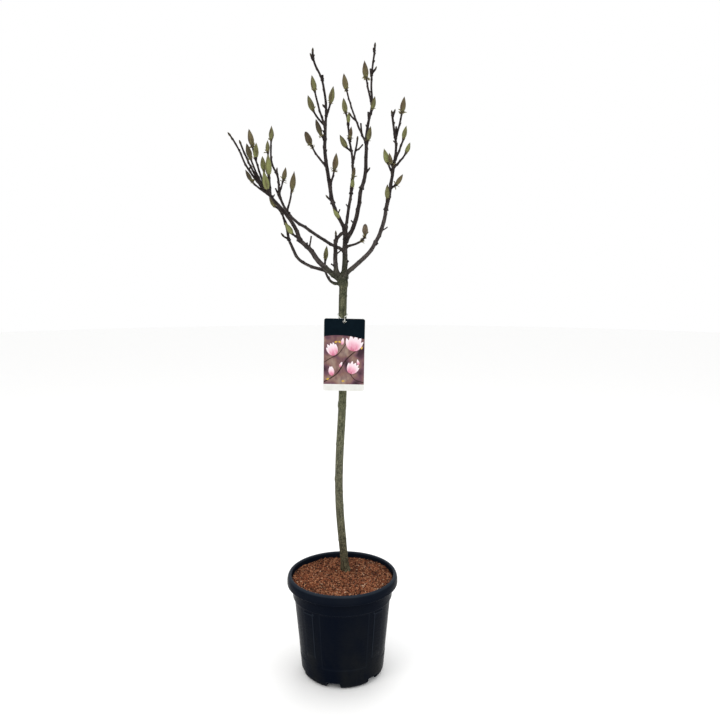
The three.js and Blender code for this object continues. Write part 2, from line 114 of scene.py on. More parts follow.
class Look:
    # short names for a material's nodes: a call adds what it needs and hands back its output
    def __init__(self, material):
        self.material = material
        self.tree = material.node_tree
        self.shader = self.tree.nodes["Principled BSDF"]

    def node(self, kind, **inputs):
        made = self.tree.nodes.new(kind)
        for key, value in inputs.items():
            self.feed(made.inputs[key.replace("_", " ")], value)
        return made

    def feed(self, socket, value):
        if isinstance(value, bpy.types.NodeSocket):
            self.tree.links.new(value, socket)
        else:
            socket.default_value = value

    def objectPlace(self):
        return self.node("ShaderNodeTexCoord").outputs["Object"]

    def axis(self, vector, name):
        return self.node("ShaderNodeSeparateXYZ", Vector=vector).outputs[name]

    def attribute(self, name, output="Fac"):
        made = self.node("ShaderNodeAttribute")
        made.attribute_name = name
        return made.outputs[output]

    def stretched(self, vector, scale):
        return self.node("ShaderNodeMapping", Vector=vector, Scale=scale).outputs["Vector"]

    def noise(self, vector, scale, detail=3.0, roughness=0.55):
        # a scale with three numbers stretches the noise
        if hasattr(scale, "__len__"):
            vector, scale = self.stretched(vector, scale), 1.0
        made = self.node("ShaderNodeTexNoise", Vector=vector, Scale=scale, Detail=detail, Roughness=roughness)
        return made.outputs["Fac"]

    def cells(self, vector, scale):
        return self.node("ShaderNodeTexVoronoi", Vector=vector, Scale=scale).outputs["Distance"]

    def ramp(self, fac, *stops):
        made = self.node("ShaderNodeValToRGB", Fac=fac)
        marks = made.color_ramp.elements
        while len(marks) < len(stops):
            marks.new(0.5)
        for mark, (place, color) in zip(marks, stops):
            mark.position = place
            mark.color = (*color, 1) if hasattr(color, "__len__") else (color, color, color, 1)
        return made.outputs["Color"]

    def mix(self, fac, a, b, blend="MIX"):
        made = self.node("ShaderNodeMix")
        made.data_type = "RGBA"
        made.blend_type = blend
        self.feed(made.inputs["Factor"], fac)
        for socket, value in ((made.inputs[6], a), (made.inputs[7], b)):
            self.feed(socket, value if isinstance(value, bpy.types.NodeSocket) else (*value, 1))
        return made.outputs[2]

    def tinted(self, color, tint, share=1.0):
        return self.mix(share, color, tint, "MULTIPLY")

    def math(self, operation, a, b):
        made = self.node("ShaderNodeMath")
        made.operation = operation
        self.feed(made.inputs[0], a)
        self.feed(made.inputs[1], b)
        return made.outputs[0]

    def times(self, a, b):
        return self.math("MULTIPLY", a, b)

    def bump(self, height, distance, strength=1.0, under=None):
        made = self.node("ShaderNodeBump", Height=height, Distance=distance, Strength=strength)
        if under is not None:
            self.feed(made.inputs["Normal"], under)
        return made.outputs["Normal"]

    def finish(self, color=None, roughness=None, normal=None):
        for socket, value in (("Base Color", color), ("Roughness", roughness), ("Normal", normal)):
            if value is not None:
                self.feed(self.shader.inputs[socket], value)
        return self.material


barkPlan = dict(
    shine=0.09,
    # how fine each layer is across and along the limb, and how many octaves it has
    streaks=((900, 900, 130), 5), patches=((120, 120, 45), 3),
    clouds=((210, 210, 70), 4), specks=((420, 420, 300), 2), cloudShare=0.85, poreStretch=0.64,
    # how dark or pale each layer makes the bark
    streakTones=((0.34, 0.55), (0.5, 1.0), (0.66, 1.5)), patchTones=((0.42, 0.0), (0.66, 1.0)),
    cloudTones=((0.36, 0.42), (0.54, 1.0)), speckTones=((0.36, 0.35), (0.5, 1.0), (0.64, 1.75)),
    poreTones=((0.10, 1.0), (0.22, 0.0)), poreRise=((0.08, 1.0), (0.24, 0.0)),
    # the colours from a bud's collar, over new and older twigs, a bough and the fork, to the stem's foot
    ages=((0.0, (0.120, 0.113, 0.050)), (0.045, (0.072, 0.062, 0.030)), (0.085, (0.018, 0.0125, 0.0120)),
          (0.3, (0.019, 0.0145, 0.0140)), (0.42, (0.031, 0.0250, 0.0245)), (0.55, (0.050, 0.0420, 0.0405)),
          (0.8, (0.034, 0.038, 0.0225)), (0.91, (0.076, 0.083, 0.044)), (0.96, (0.100, 0.102, 0.068)),
          (1.0, (0.058, 0.047, 0.025))),
    # each kind's flecks and their share, its roughness, the fineness of its pores and the share of its specks
    kinds=dict(stem=((0.172, 0.166, 0.102), 0.45, 0.72, 170, 0.85),
               wood=((0.105, 0.090, 0.078), 0.34, 0.66, 260, 0.7),
               twig=((0.095, 0.078, 0.070), 0.30, 0.58, 300, 0.7)))


def barkMaterial(kind):
    # grain runs along the limb, age goes from 0 at a bud's collar to 1 on the trunk
    p = barkPlan
    flecks, share, roughness, poreScale, specks = p["kinds"][kind]
    look = Look(newMaterial(kind + "Bark", p["ages"][-1][1], roughness, p["shine"]))
    grain = look.attribute("grain", "Vector")
    color = look.ramp(look.attribute("age"), *p["ages"])
    streaks = look.noise(grain, *p["streaks"])
    color = look.tinted(color, look.ramp(streaks, *p["streakTones"]))
    pale = look.ramp(look.noise(grain, *p["patches"]), *p["patchTones"])
    color = look.mix(look.times(pale, share), color, flecks)
    dark = look.ramp(look.noise(grain, *p["clouds"]), *p["cloudTones"])
    color = look.tinted(color, dark, p["cloudShare"])
    pores = look.cells(look.stretched(grain, (poreScale, poreScale, poreScale * p["poreStretch"])), 1.0)
    color = look.mix(look.times(look.ramp(pores, *p["poreTones"]), share), color, flecks)
    specked = look.ramp(look.noise(grain, *p["specks"]), *p["speckTones"])
    color = look.tinted(color, specked, specks)
    fine = look.bump(streaks, 0.0005, 0.6)
    normal = look.bump(look.ramp(pores, *p["poreRise"]), 0.0003, 0.6, fine)
    return look.finish(color, look.ramp(streaks, (0.2, roughness - 0.12), (0.8, roughness + 0.1)), normal)


# a bud's surface: its silk and its shaded side, how fine they are and how they come and go
budSurface = dict(roughness=0.85, shine=0.06, sheen=0.03, sheenRoughness=0.5,
                  silk=((1500, 1500, 170), 4), sides=((120, 120, 22), 2),
                  bands=(0.25, 0.66), shaded=((0.47, 0.0), (0.60, 0.85)), silkTones=((0.40, 0.0), (0.7, 1.0)),
                  silkShare=0.4, gaps=((0.25, 0.5), (0.46, 1.0)))


def budMaterial(name, base, body, tip, streak, shade):
    # along goes from 0 at a bud's foot to 1 at its tip; one side of a bud is shaded brown
    p = budSurface
    look = Look(newMaterial(name, body, p["roughness"], p["shine"], Sheen_Weight=p["sheen"],
                            Sheen_Roughness=p["sheenRoughness"]))
    grain = look.attribute("grain", "Vector")
    low, high = p["bands"]
    color = look.ramp(look.attribute("along"), (0.0, base), (low, body), (high, body), (1.0, tip))
    silk = look.noise(grain, *p["silk"])
    sides = look.noise(grain, *p["sides"])
    color = look.mix(look.ramp(sides, *p["shaded"]), color, shade)
    color = look.mix(look.times(look.ramp(silk, *p["silkTones"]), p["silkShare"]), color, streak)
    color = look.tinted(color, look.ramp(silk, *p["gaps"]))
    return look.finish(color, None, look.bump(silk, 0.0004, 0.7))


def speckledMaterial(name, color, speck, scale, roughness, shine=0.15):
    look = Look(newMaterial(name, color, roughness, shine))
    place = look.objectPlace()
    spots = look.ramp(look.noise(place, scale, 4), (0.4, 0.0), (0.65, 1.0))
    fibres = look.noise(place, (scale * 3, scale * 3, scale * 6), 3)
    return look.finish(look.mix(spots, color, speck), None, look.bump(fibres, 0.0006, 0.7))


# meshes from arrays

def joinedMesh(name, parts, material, smooth=True):
    # parts are dictionaries of points, quads, tris and any number of attributes, one value to a point
    mesh = bpy.data.meshes.new(name)
    starts = np.cumsum([0] + [len(part["points"]) for part in parts])
    points = np.concatenate([part["points"] for part in parts]) * mm

    def gathered(key, size):
        faces = [part[key] + start for part, start in zip(parts, starts) if len(part.get(key, ()))]
        return np.concatenate(faces) if faces else np.zeros((0, size), int)

    quads, tris = gathered("quads", 4), gathered("tris", 3)
    corners = np.concatenate([quads.ravel(), tris.ravel()])
    sizes = np.concatenate([np.full(len(quads), 4), np.full(len(tris), 3)])
    mesh.vertices.add(len(points))
    mesh.vertices.foreach_set("co", points.astype(np.float32).ravel())
    mesh.loops.add(len(corners))
    mesh.loops.foreach_set("vertex_index", corners.astype(np.int32))
    mesh.polygons.add(len(sizes))
    mesh.polygons.foreach_set("loop_start", (np.cumsum(sizes) - sizes).astype(np.int32))
    mesh.polygons.foreach_set("use_smooth", np.full(len(sizes), smooth))
    for key in parts[0]:
        if key in ("points", "quads", "tris"):
            continue
        values = np.concatenate([part[key] for part in parts]).astype(np.float32)
        kind = "FLOAT" if values.ndim == 1 else "FLOAT_VECTOR"
        layer = mesh.attributes.new(key, kind, "POINT")
        layer.data.foreach_set("value" if values.ndim == 1 else "vector", values.ravel())
    mesh.update(calc_edges=True)
    mesh.validate()
    mesh.materials.append(material)
    piece = bpy.data.objects.new(name, mesh)
    bpy.context.scene.collection.objects.link(piece)
    return piece


def settle(piece, slot, *nodes):
    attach(piece, "root")
    if nodes:
        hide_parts(*nodes)
    triangles = sum(len(face.vertices) - 2 for face in piece.data.polygons)
    print(f"  {piece.name}: {triangles} triangles")


def addPiece(name, parts, material, slot, *nodes, smooth=True):
    settle(joinedMesh(name, parts, material, smooth), slot, *nodes)


# odd factors that scramble a place into a number
scramble = dict(axes=(374761393, 668265263, 2246822519), seed=3266489917, last=1274126177)


def softNoise(points, size, seed=0):
    # smooth noise from -1 to 1 at each point, whose lumps are about size across
    cell = np.asarray(points, float) / size
    low = np.floor(cell)
    part = cell - low
    ease = part * part * (3 - 2 * part)
    low = low.astype(np.int64)
    total = np.zeros(cell.shape[:-1])
    for corner in itertools.product((0, 1), repeat=3):
        key = (low + corner) @ np.array(scramble["axes"]) + seed * scramble["seed"]
        key &= 0xFFFFFFFF
        key = ((key ^ (key >> 13)) * scramble["last"]) & 0xFFFFFFFF
        value = ((key ^ (key >> 16)) & 0xFFFF) / 0xFFFF
        total += value * np.prod(np.where(corner, ease, 1 - ease), axis=-1)
    return total * 2 - 1


def unit(vector):
    vector = np.asarray(vector, float)
    return vector / np.linalg.norm(vector, axis=-1, keepdims=True)


def bearings(sides):
    return np.arange(sides) * 2 * math.pi / sides


def stacked(*rows):
    return np.stack(np.broadcast_arrays(*rows), axis=-1)


def framesAlong(path):
    # a tangent and two square directions at every point of a path, turned as little as can be
    tangents = unit(np.gradient(path, axis=0))
    normals = np.zeros_like(path)
    normal = np.array((1.0, 0.0, 0.0)) if abs(tangents[0, 0]) < 0.9 else np.array((0.0, 1.0, 0.0))
    for i, tangent in enumerate(tangents):
        normal = unit(normal - tangent * (normal @ tangent))
        normals[i] = normal
    return tangents, normals, np.cross(tangents, normals)


def tubeFaces(rings, sides):
    ring = np.arange(rings - 1)[:, None] * sides
    side = np.arange(sides)[None, :]
    after = (side + 1) % sides
    quads = np.stack([ring + side, ring + after, ring + sides + after, ring + sides + side], axis=-1)
    foot, tip = rings * sides, rings * sides + 1
    last = (rings - 1) * sides
    caps = [(foot, (j + 1) % sides, j) for j in range(sides)]
    caps += [(tip, last + j, last + (j + 1) % sides) for j in range(sides)]
    return quads.reshape(-1, 4), np.array(caps)


def sweep(path, reach, sides, flare=None):
    # a closed tube round a path; reach gives each corner's distance from it
    tangents, normals, binormals = framesAlong(path)
    angle = bearings(sides)
    out = normals[:, None] * np.cos(angle)[:, None] + binormals[:, None] * np.sin(angle)[:, None]
    points = path[:, None] + out * reach[..., None]
    if flare is not None:
        points += out * flare(points)[..., None]
    quads, tris = tubeFaces(len(path), sides)
    ends = path[[0, -1]]
    return dict(points=np.concatenate([points.reshape(-1, 3), ends]), quads=quads, tris=tris)


def withEnds(rows):
    # each ring's values in turn, then one for each end's middle
    return np.concatenate([rows.reshape(-1, 3), rows[[0, -1], 0]])


# limbs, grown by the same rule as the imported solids

# step is the length of one step while a limb is worked out. A node is where a leaf was, and each is two
# fifths of a turn round from the last. The rows are the extra rows of corners at a node and at a bud's rings
limbPlan = dict(
    step=4, phyllotaxis=144, sway=10, unevenly=(0.7, 1.3), clearTip=0.3,
    nodeRows=(-2.6, -1.4, -0.6, 0.0, 0.5, 0.9, 1.3, 1.7, 2.2, 3.2), ringRows=(-0.8, -0.4, 0.0, 0.4, 0.8),
    closest=0.24, knuckle=3.6, swelling=dict(height=0.08, width=2.4),
    cushion=dict(height=0.27, below=0.8, width=1.7, turn=0.55),
    sheath=dict(height=0.05, most=0.16, above=1.3, width=0.3), ring=dict(height=0.13, most=0.4, width=0.42),
    collarRun=8, collarStart=11, flareReach=1.25, flareHeight=0.5, roughSeed=7,
    dome=(0.5, 0.95, 1.3), cut=((0.15, 0.93), (0.05, 0.7), (-0.25, 0.4)))


def spread(values, t):
    place = min(max(t, 0.0), 1.0) * (len(values) - 1)
    low = min(int(place), len(values) - 2)
    return values[low] + (values[low + 1] - values[low]) * (place - low)


def heading(right, back):
    return unit((math.tan(math.radians(right)), math.tan(math.radians(back)), 1.0))


def growPath(foot, length, right, back):
    steps = max(4, round(length / limbPlan["step"]))
    points = [np.array(foot, float)]
    for i in range(steps):
        t = (i + 0.5) / steps
        points.append(points[-1] + heading(spread(right, t), spread(back, t)) * (length / steps))
    return resampled(np.array(points), np.linspace(0, length, max(4, round(length)) + 1))


def resampled(points, places):
    run = np.concatenate([[0], np.cumsum(np.linalg.norm(np.diff(points, axis=0), axis=1))])
    places = np.clip(places, 0, run[-1])
    return np.stack([np.interp(places, run, points[:, axis]) for axis in range(3)], axis=-1)


def pointAt(limb, t):
    return resampled(limb["path"], np.array([t * limb["length"]]))[0]


def directionAt(limb, t):
    here = t * limb["length"]
    two = resampled(limb["path"], np.clip([here - 1.5, here + 1.5], 0, limb["length"]))
    return unit(two[1] - two[0])


def nodesAlong(length, spacing, draw):
    # pairs of a place along the limb and a bearing
    nodes = []
    bearing = draw.uniform(0, 360)
    along = spacing * draw.uniform(0.5, 1.0)
    while along < length - spacing * limbPlan["clearTip"]:
        nodes.append((along, math.radians(bearing)))
        bearing += limbPlan["phyllotaxis"] + draw.uniform(-limbPlan["sway"], limbPlan["sway"])
        along += spacing * draw.uniform(*limbPlan["unevenly"])
    return nodes


def newLimb(kind, foot, plan, draw, spacing, parents, ages, zigzag=0.0, **more):
    path = growPath(foot, plan["length"], plan["right"], plan["back"])
    nodes = nodesAlong(plan["length"], spacing, draw) if spacing else []
    if zigzag and nodes:
        _, normals, binormals = framesAlong(path)
        places = [0] + [along for along, _ in nodes] + [plan["length"]]
        run = np.linspace(0, plan["length"], len(path))
        for wave, sideways in ((math.cos, normals), (math.sin, binormals)):
            push = [0] + [wave(bearing) * zigzag for _, bearing in nodes] + [0]
            path = path + sideways * np.interp(run, places, push)[:, None]
    return dict(kind=kind, path=path, length=plan["length"], girth=plan["girth"], nodes=nodes,
                parents=parents, ages=ages, **more)


def girthAt(limb, t):
    return np.array([spread(limb["girth"], x) for x in np.atleast_1d(t)])


def ringPlaces(limb, spacing):
    last = limb.get("stop", limb["length"])
    places = list(np.linspace(0, last, max(3, round(last / spacing) + 1)))
    places += [along + step for along, _ in limb["nodes"] for step in limbPlan["nodeRows"]]
    places += [along + step for along in limb.get("rings", ()) for step in limbPlan["ringRows"]]
    places = np.unique(np.round([p for p in places if 0 <= p <= last], 2))
    return places[np.concatenate([[True], np.diff(places) > limbPlan["closest"]])]


def bell(x, width):
    return np.exp(-0.5 * (x / width) ** 2)


def flareOnto(parents, radius):
    # pushes a limb's skin outwards where it comes near the limbs that it grows from
    reach = radius * limbPlan["flareReach"]

    def flare(points):
        extra = np.zeros(points.shape[:-1])
        foot = points[0].mean(axis=0)
        away = np.linalg.norm(points.mean(axis=1) - foot, axis=1)
        for parent in parents:
            near = parent["path"][::3]
            girths = girthAt(parent, np.linspace(0, 1, len(near))) / 2
            close = np.linalg.norm(near - foot, axis=1) < radius * 8 + 30
            if close.any():
                rings = slice(0, np.searchsorted(away, radius * 5 + girths[close].max()))
                gap = np.linalg.norm(points[rings][..., None, :] - near[close], axis=-1) - girths[close]
                share = 1 - np.clip(gap.min(axis=-1) / reach, 0, 1)
                extra[rings] = np.maximum(extra[rings], reach * limbPlan["flareHeight"] * share ** 2)
        return extra

    return flare


def limbMesh(limb, sides, spacing, roughness):
    p = limbPlan
    places = ringPlaces(limb, spacing)
    path = resampled(limb["path"], places)
    radii = girthAt(limb, places / limb["length"]) / 2
    if "profile" in limb:
        radii = limb["profile"](places, radii)
    if "collar" in limb:
        share = np.clip((places - limb["length"] + p["collarStart"]) / p["collarRun"], 0, 1) ** 1.5
        radii = radii + limb["collar"] * share
    angle, wide, up = bearings(sides), radii[:, None], places[:, None]
    grain = stacked(np.cos(angle) * wide, np.sin(angle) * wide, up + limb["offset"])
    reach = np.repeat(wide, sides, axis=1)
    for size, height in roughness:
        reach += softNoise(grain, np.array(size), p["roughSeed"]) * height
    knuckle = np.minimum(wide, p["knuckle"])
    swelling, cushion, sheath, ring = p["swelling"], p["cushion"], p["sheath"], p["ring"]
    for along, bearing in limb["nodes"]:
        off = up - along
        turn = np.angle(np.exp(1j * (angle[None, :] - bearing)))
        reach += knuckle * swelling["height"] * bell(off, swelling["width"])
        pad = bell(off + cushion["below"], cushion["width"]) * bell(turn, cushion["turn"])
        reach += knuckle * cushion["height"] * pad
        scar = np.minimum(knuckle * sheath["height"], sheath["most"])
        reach += scar * bell(off - sheath["above"], sheath["width"])
    for along in limb.get("rings", ()):
        reach += np.minimum(knuckle * ring["height"], ring["most"]) * bell(up - along, ring["width"])
    # the last rings close in to a round tip, or to a cut face with a hard edge and a slight hollow
    scale = 1.0 if limb.get("cut") else reach[-1].mean()
    steps = p["cut"] if limb.get("cut") else [(math.sin(a), math.cos(a)) for a in p["dome"]]
    onward = unit(path[-1] - path[-2])
    path = np.concatenate([path, [path[-1] + onward * scale * rise for rise, _ in steps]])
    reach = np.concatenate([reach, [reach[-1] * across for _, across in steps]])
    grain = np.concatenate([grain, [grain[-1]] * len(steps)])
    ages = np.array([spread(limb["ages"], x) for x in places / limb["length"]])
    ages = np.concatenate([ages, [ages[-1]] * len(steps)])
    part = sweep(path, reach, sides, flareOnto(limb["parents"], radii[0]) if limb["parents"] else None)
    part["grain"] = withEnds(grain) * mm
    part["age"] = np.concatenate([np.repeat(ages, sides), ages[[0, -1]]])
    return part


# trunk and boughs

trunkPlan = dict(
    foot=(8, 45, 287), length=900, girth=(24.5, 23), right=(-5, -5, 1, 4, 1, -1, 4), back=(-2.7, -2.7),
    ages=(1.0, 0.97, 0.96, 0.92, 0.90, 0.8), spacing=120, seed=5, sides=48, rowSpacing=1.7,
    flareGirth=30, flareHeight=45, graftGirth=27, graftFrom=0.968, graftTo=0.995,
    # old wounds: how far up, their bearing and the height of their lip
    scars=((0.115, 250, 1.7), (0.235, 40, 1.2), (0.33, 160, 1.5), (0.47, 300, 1.3), (0.585, 200, 1.6),
           (0.70, 75, 1.2), (0.905, 235, 1.6)),
    lip=4.5, lipWidth=2.4, eyeWidth=1.8, eyeDepth=0.4,
    # the foot spreads in a few low ridges
    ridges=4, ridgeTurn=0.7, ridgeRise=30, ridgeDepth=0.10)
boughPlans = dict(
    centre_leader=dict(grows="trunk", at=0.997, length=148, girth=(17, 12.5), right=(6, 0, 1), back=(2, 2),
                       ages=(0.82, 0.76, 0.46, 0.34)),
    left_bough=dict(grows="trunk", at=0.982, length=175, girth=(17, 12),
                    right=(-46, -52, -33, -56), back=(-12, -12), ages=(0.82, 0.79, 0.50, 0.46, 0.42)),
    right_bough=dict(grows="trunk", at=0.994, length=245, girth=(13.5, 10), right=(20, 53, 46, 29, 19, 4),
                     back=(-38, -12), ages=(0.80, 0.62, 0.56, 0.54, 0.52, 0.5)),
    second_leader=dict(grows="trunk", at=0.985, length=125, girth=(15, 10.5),
                       right=(-44, -14, 5, -3), back=(-14, -14), ages=(0.80, 0.72, 0.34, 0.3)),
    low_left_bough=dict(grows="trunk", at=0.994, length=204, girth=(10, 8),
                        right=(-40, -77, -73, -65, -23, -26), back=(6, 4), ages=(0.80, 0.48, 0.46, 0.4)),
    long_left_bough=dict(grows="centre_leader", at=0.53, length=225, girth=(9.5, 8),
                         right=(-64, -61, -54, -59, -36), back=(42, 38), ages=(0.44, 0.42, 0.4)),
    front_bough=dict(grows="centre_leader", at=0.94, length=85, girth=(11, 10),
                     right=(-28, -29, -16), back=(-30, -24), ages=(0.40, 0.44, 0.42)),
    rear_bough=dict(grows="centre_leader", at=0.96, length=120, girth=(9.5, 8.5),
                    right=(11, 7, 10), back=(32, 26), ages=(0.38, 0.36, 0.32)),
    tall_bough=dict(grows="centre_leader", at=0.72, length=160, girth=(12.5, 11),
                    right=(42, 21, 15, 6, 11), back=(10, 8), ages=(0.36, 0.28, 0.26)),
)
# cut stubs, thorns and knobs: the limb, how far up it, its two leans, its length and its girth
stubPlans = (
    ("left_bough", 0.80, 14, -10, 36, 4.8), ("left_bough", 0.92, -70, -30, 22, 5.0),
    ("left_bough", 0.84, 2, -40, 14, 4.4), ("left_bough", 0.42, -78, 10, 14, 3.6),
    ("right_bough", 0.765, 76, -25, 21, 3.8), ("right_bough", 0.59, 82, -35, 11, 6.0),
    ("centre_leader", 0.30, 70, -30, 13, 5.0), ("second_leader", 0.42, -74, -20, 16, 4.6),
    ("second_leader", 0.70, 66, 20, 19, 4.0), ("tall_bough", 0.36, -56, 10, 14, 3.8),
    ("rear_bough", 0.60, -46, 12, 13, 3.6), ("front_bough", 0.60, 34, -20, 17, 3.8),
)
boughBuild = dict(seed=11, spacing=24, zigzag=0.7, sides=26, rowSpacing=1.7, offset=2000, offsetStep=400)
stubBuild = dict(taper=0.92, ease=0.6, ages=(0.4, 0.3), rings=(0.55, 0.8), sides=12, rowSpacing=1.2,
                 offset=9000, offsetStep=60)
# size and height of the lumps in the bark
barkGrain = dict(trunk=(((24, 24, 70), 0.40), ((7, 7, 17), 0.20), ((2.6, 2.6, 6), 0.13)),
                 bough=(((14, 14, 40), 0.30), ((4.5, 4.5, 11), 0.22), ((1.8, 1.8, 4), 0.12)),
                 twig=(((9, 9, 24), 0.14), ((2.2, 2.2, 5), 0.12)))


def trunkProfile(places, radii):
    p = trunkPlan
    flare = np.clip(1 - places / p["flareHeight"], 0, 1) ** 2
    along = (places / p["length"] - p["graftFrom"]) / (p["graftTo"] - p["graftFrom"])
    graft = np.sin(math.pi * np.clip(along, 0, 1))
    radii = radii + (p["flareGirth"] / 2 - radii) * flare
    return radii + (p["graftGirth"] / 2 - radii) * graft


def growTrunk(limbs):
    p = trunkPlan
    draw = random.Random(p["seed"])
    trunk = newLimb("trunk", p["foot"], p, draw, p["spacing"], [], p["ages"], offset=0, profile=trunkProfile)
    limbs["trunk"] = trunk
    part = limbMesh(trunk, p["sides"], p["rowSpacing"], barkGrain["trunk"])
    # where side shoots were cut away, the wound is healed to a raised lip round a sunk eye
    points = part["points"]
    for at, bearing, size in p["scars"]:
        out = np.array((math.cos(math.radians(bearing)), math.sin(math.radians(bearing)), 0.12))
        eye = pointAt(trunk, at) + unit(out) * 12
        away = np.linalg.norm((points - eye) * (1, 1, 0.75), axis=1)
        lip = size * bell(away - p["lip"], p["lipWidth"]) - size * p["eyeDepth"] * bell(away, p["eyeWidth"])
        points += out * lip[:, None]
    foot = np.clip(1 - (points[:, 2] - p["foot"][2]) / p["ridgeRise"], 0, 1) ** 2
    middle = np.array(p["foot"][:2])
    turn = np.arctan2(points[:, 1] - middle[1], points[:, 0] - middle[0])
    ridges = p["ridgeDepth"] * foot * np.cos(turn * p["ridges"] + p["ridgeTurn"])
    points[:, :2] += (points[:, :2] - middle) * ridges[:, None]
    return part


def growBoughs(limbs):
    p, q = boughBuild, stubBuild
    draw = random.Random(p["seed"])
    parts, onTrunk = [], []
    for count, (name, plan) in enumerate(boughPlans.items()):
        parent = limbs[plan["grows"]]
        siblings = onTrunk if plan["grows"] == "trunk" else []
        limb = newLimb("bough", pointAt(parent, plan["at"]), plan, draw, p["spacing"], [parent, *siblings],
                       plan["ages"], p["zigzag"], offset=p["offset"] + p["offsetStep"] * count)
        limbs[name] = limb
        siblings.append(limb)
        parts.append(limbMesh(limb, p["sides"], p["rowSpacing"], barkGrain["bough"]))
    for count, (name, at, right, back, length, girth) in enumerate(stubPlans):
        plan = dict(length=length, girth=(girth, girth * q["taper"]), right=(right, right * q["ease"]),
                    back=(back, back * q["ease"]))
        stub = newLimb("stub", pointAt(limbs[name], at), plan, draw, 0, [limbs[name]], q["ages"], cut=True,
                       offset=q["offset"] + q["offsetStep"] * count,
                       rings=[length * share for share in q["rings"]])
        parts.append(limbMesh(stub, q["sides"], q["rowSpacing"], barkGrain["twig"]))
    return parts


# twigs

twigPlan = dict(
    girth=6.2, tipGirth=4.8, ease=0.55, budEase=0.8, leafBud=13, leafBudShare=0.55, leafBudUneven=(0.85, 1.1),
    leafBudOver=0.8, freshWood=13, seed=23, offset=20000, offsetStep=500,
    # the space between nodes, the ages and the sideways sway of a stem, a shoot and a spur
    stem=(28, (0.38, 0.2, 0.12), 0.5), shoot=(15, (0.26, 0.12), 0.45), spur=(5, (0.22, 0.12), 0.15),
    shortShoot=18, shortSpacing=7, rings=(0.8, 2.6, 4.6, 7.0), clearFoot=10,
    collar=1.5, collars=dict(brown=2.3, dark=2.1, stout=2.2, blunt=2.0),
    sides=10, longSides=14, longest=100, rowSpacing=3.2)
spurPlan = dict(spacing=44, turn=144, lean=58, shortest=3, longest=9, girth=(4.0, 3.2), uneven=0.25, seed=41)
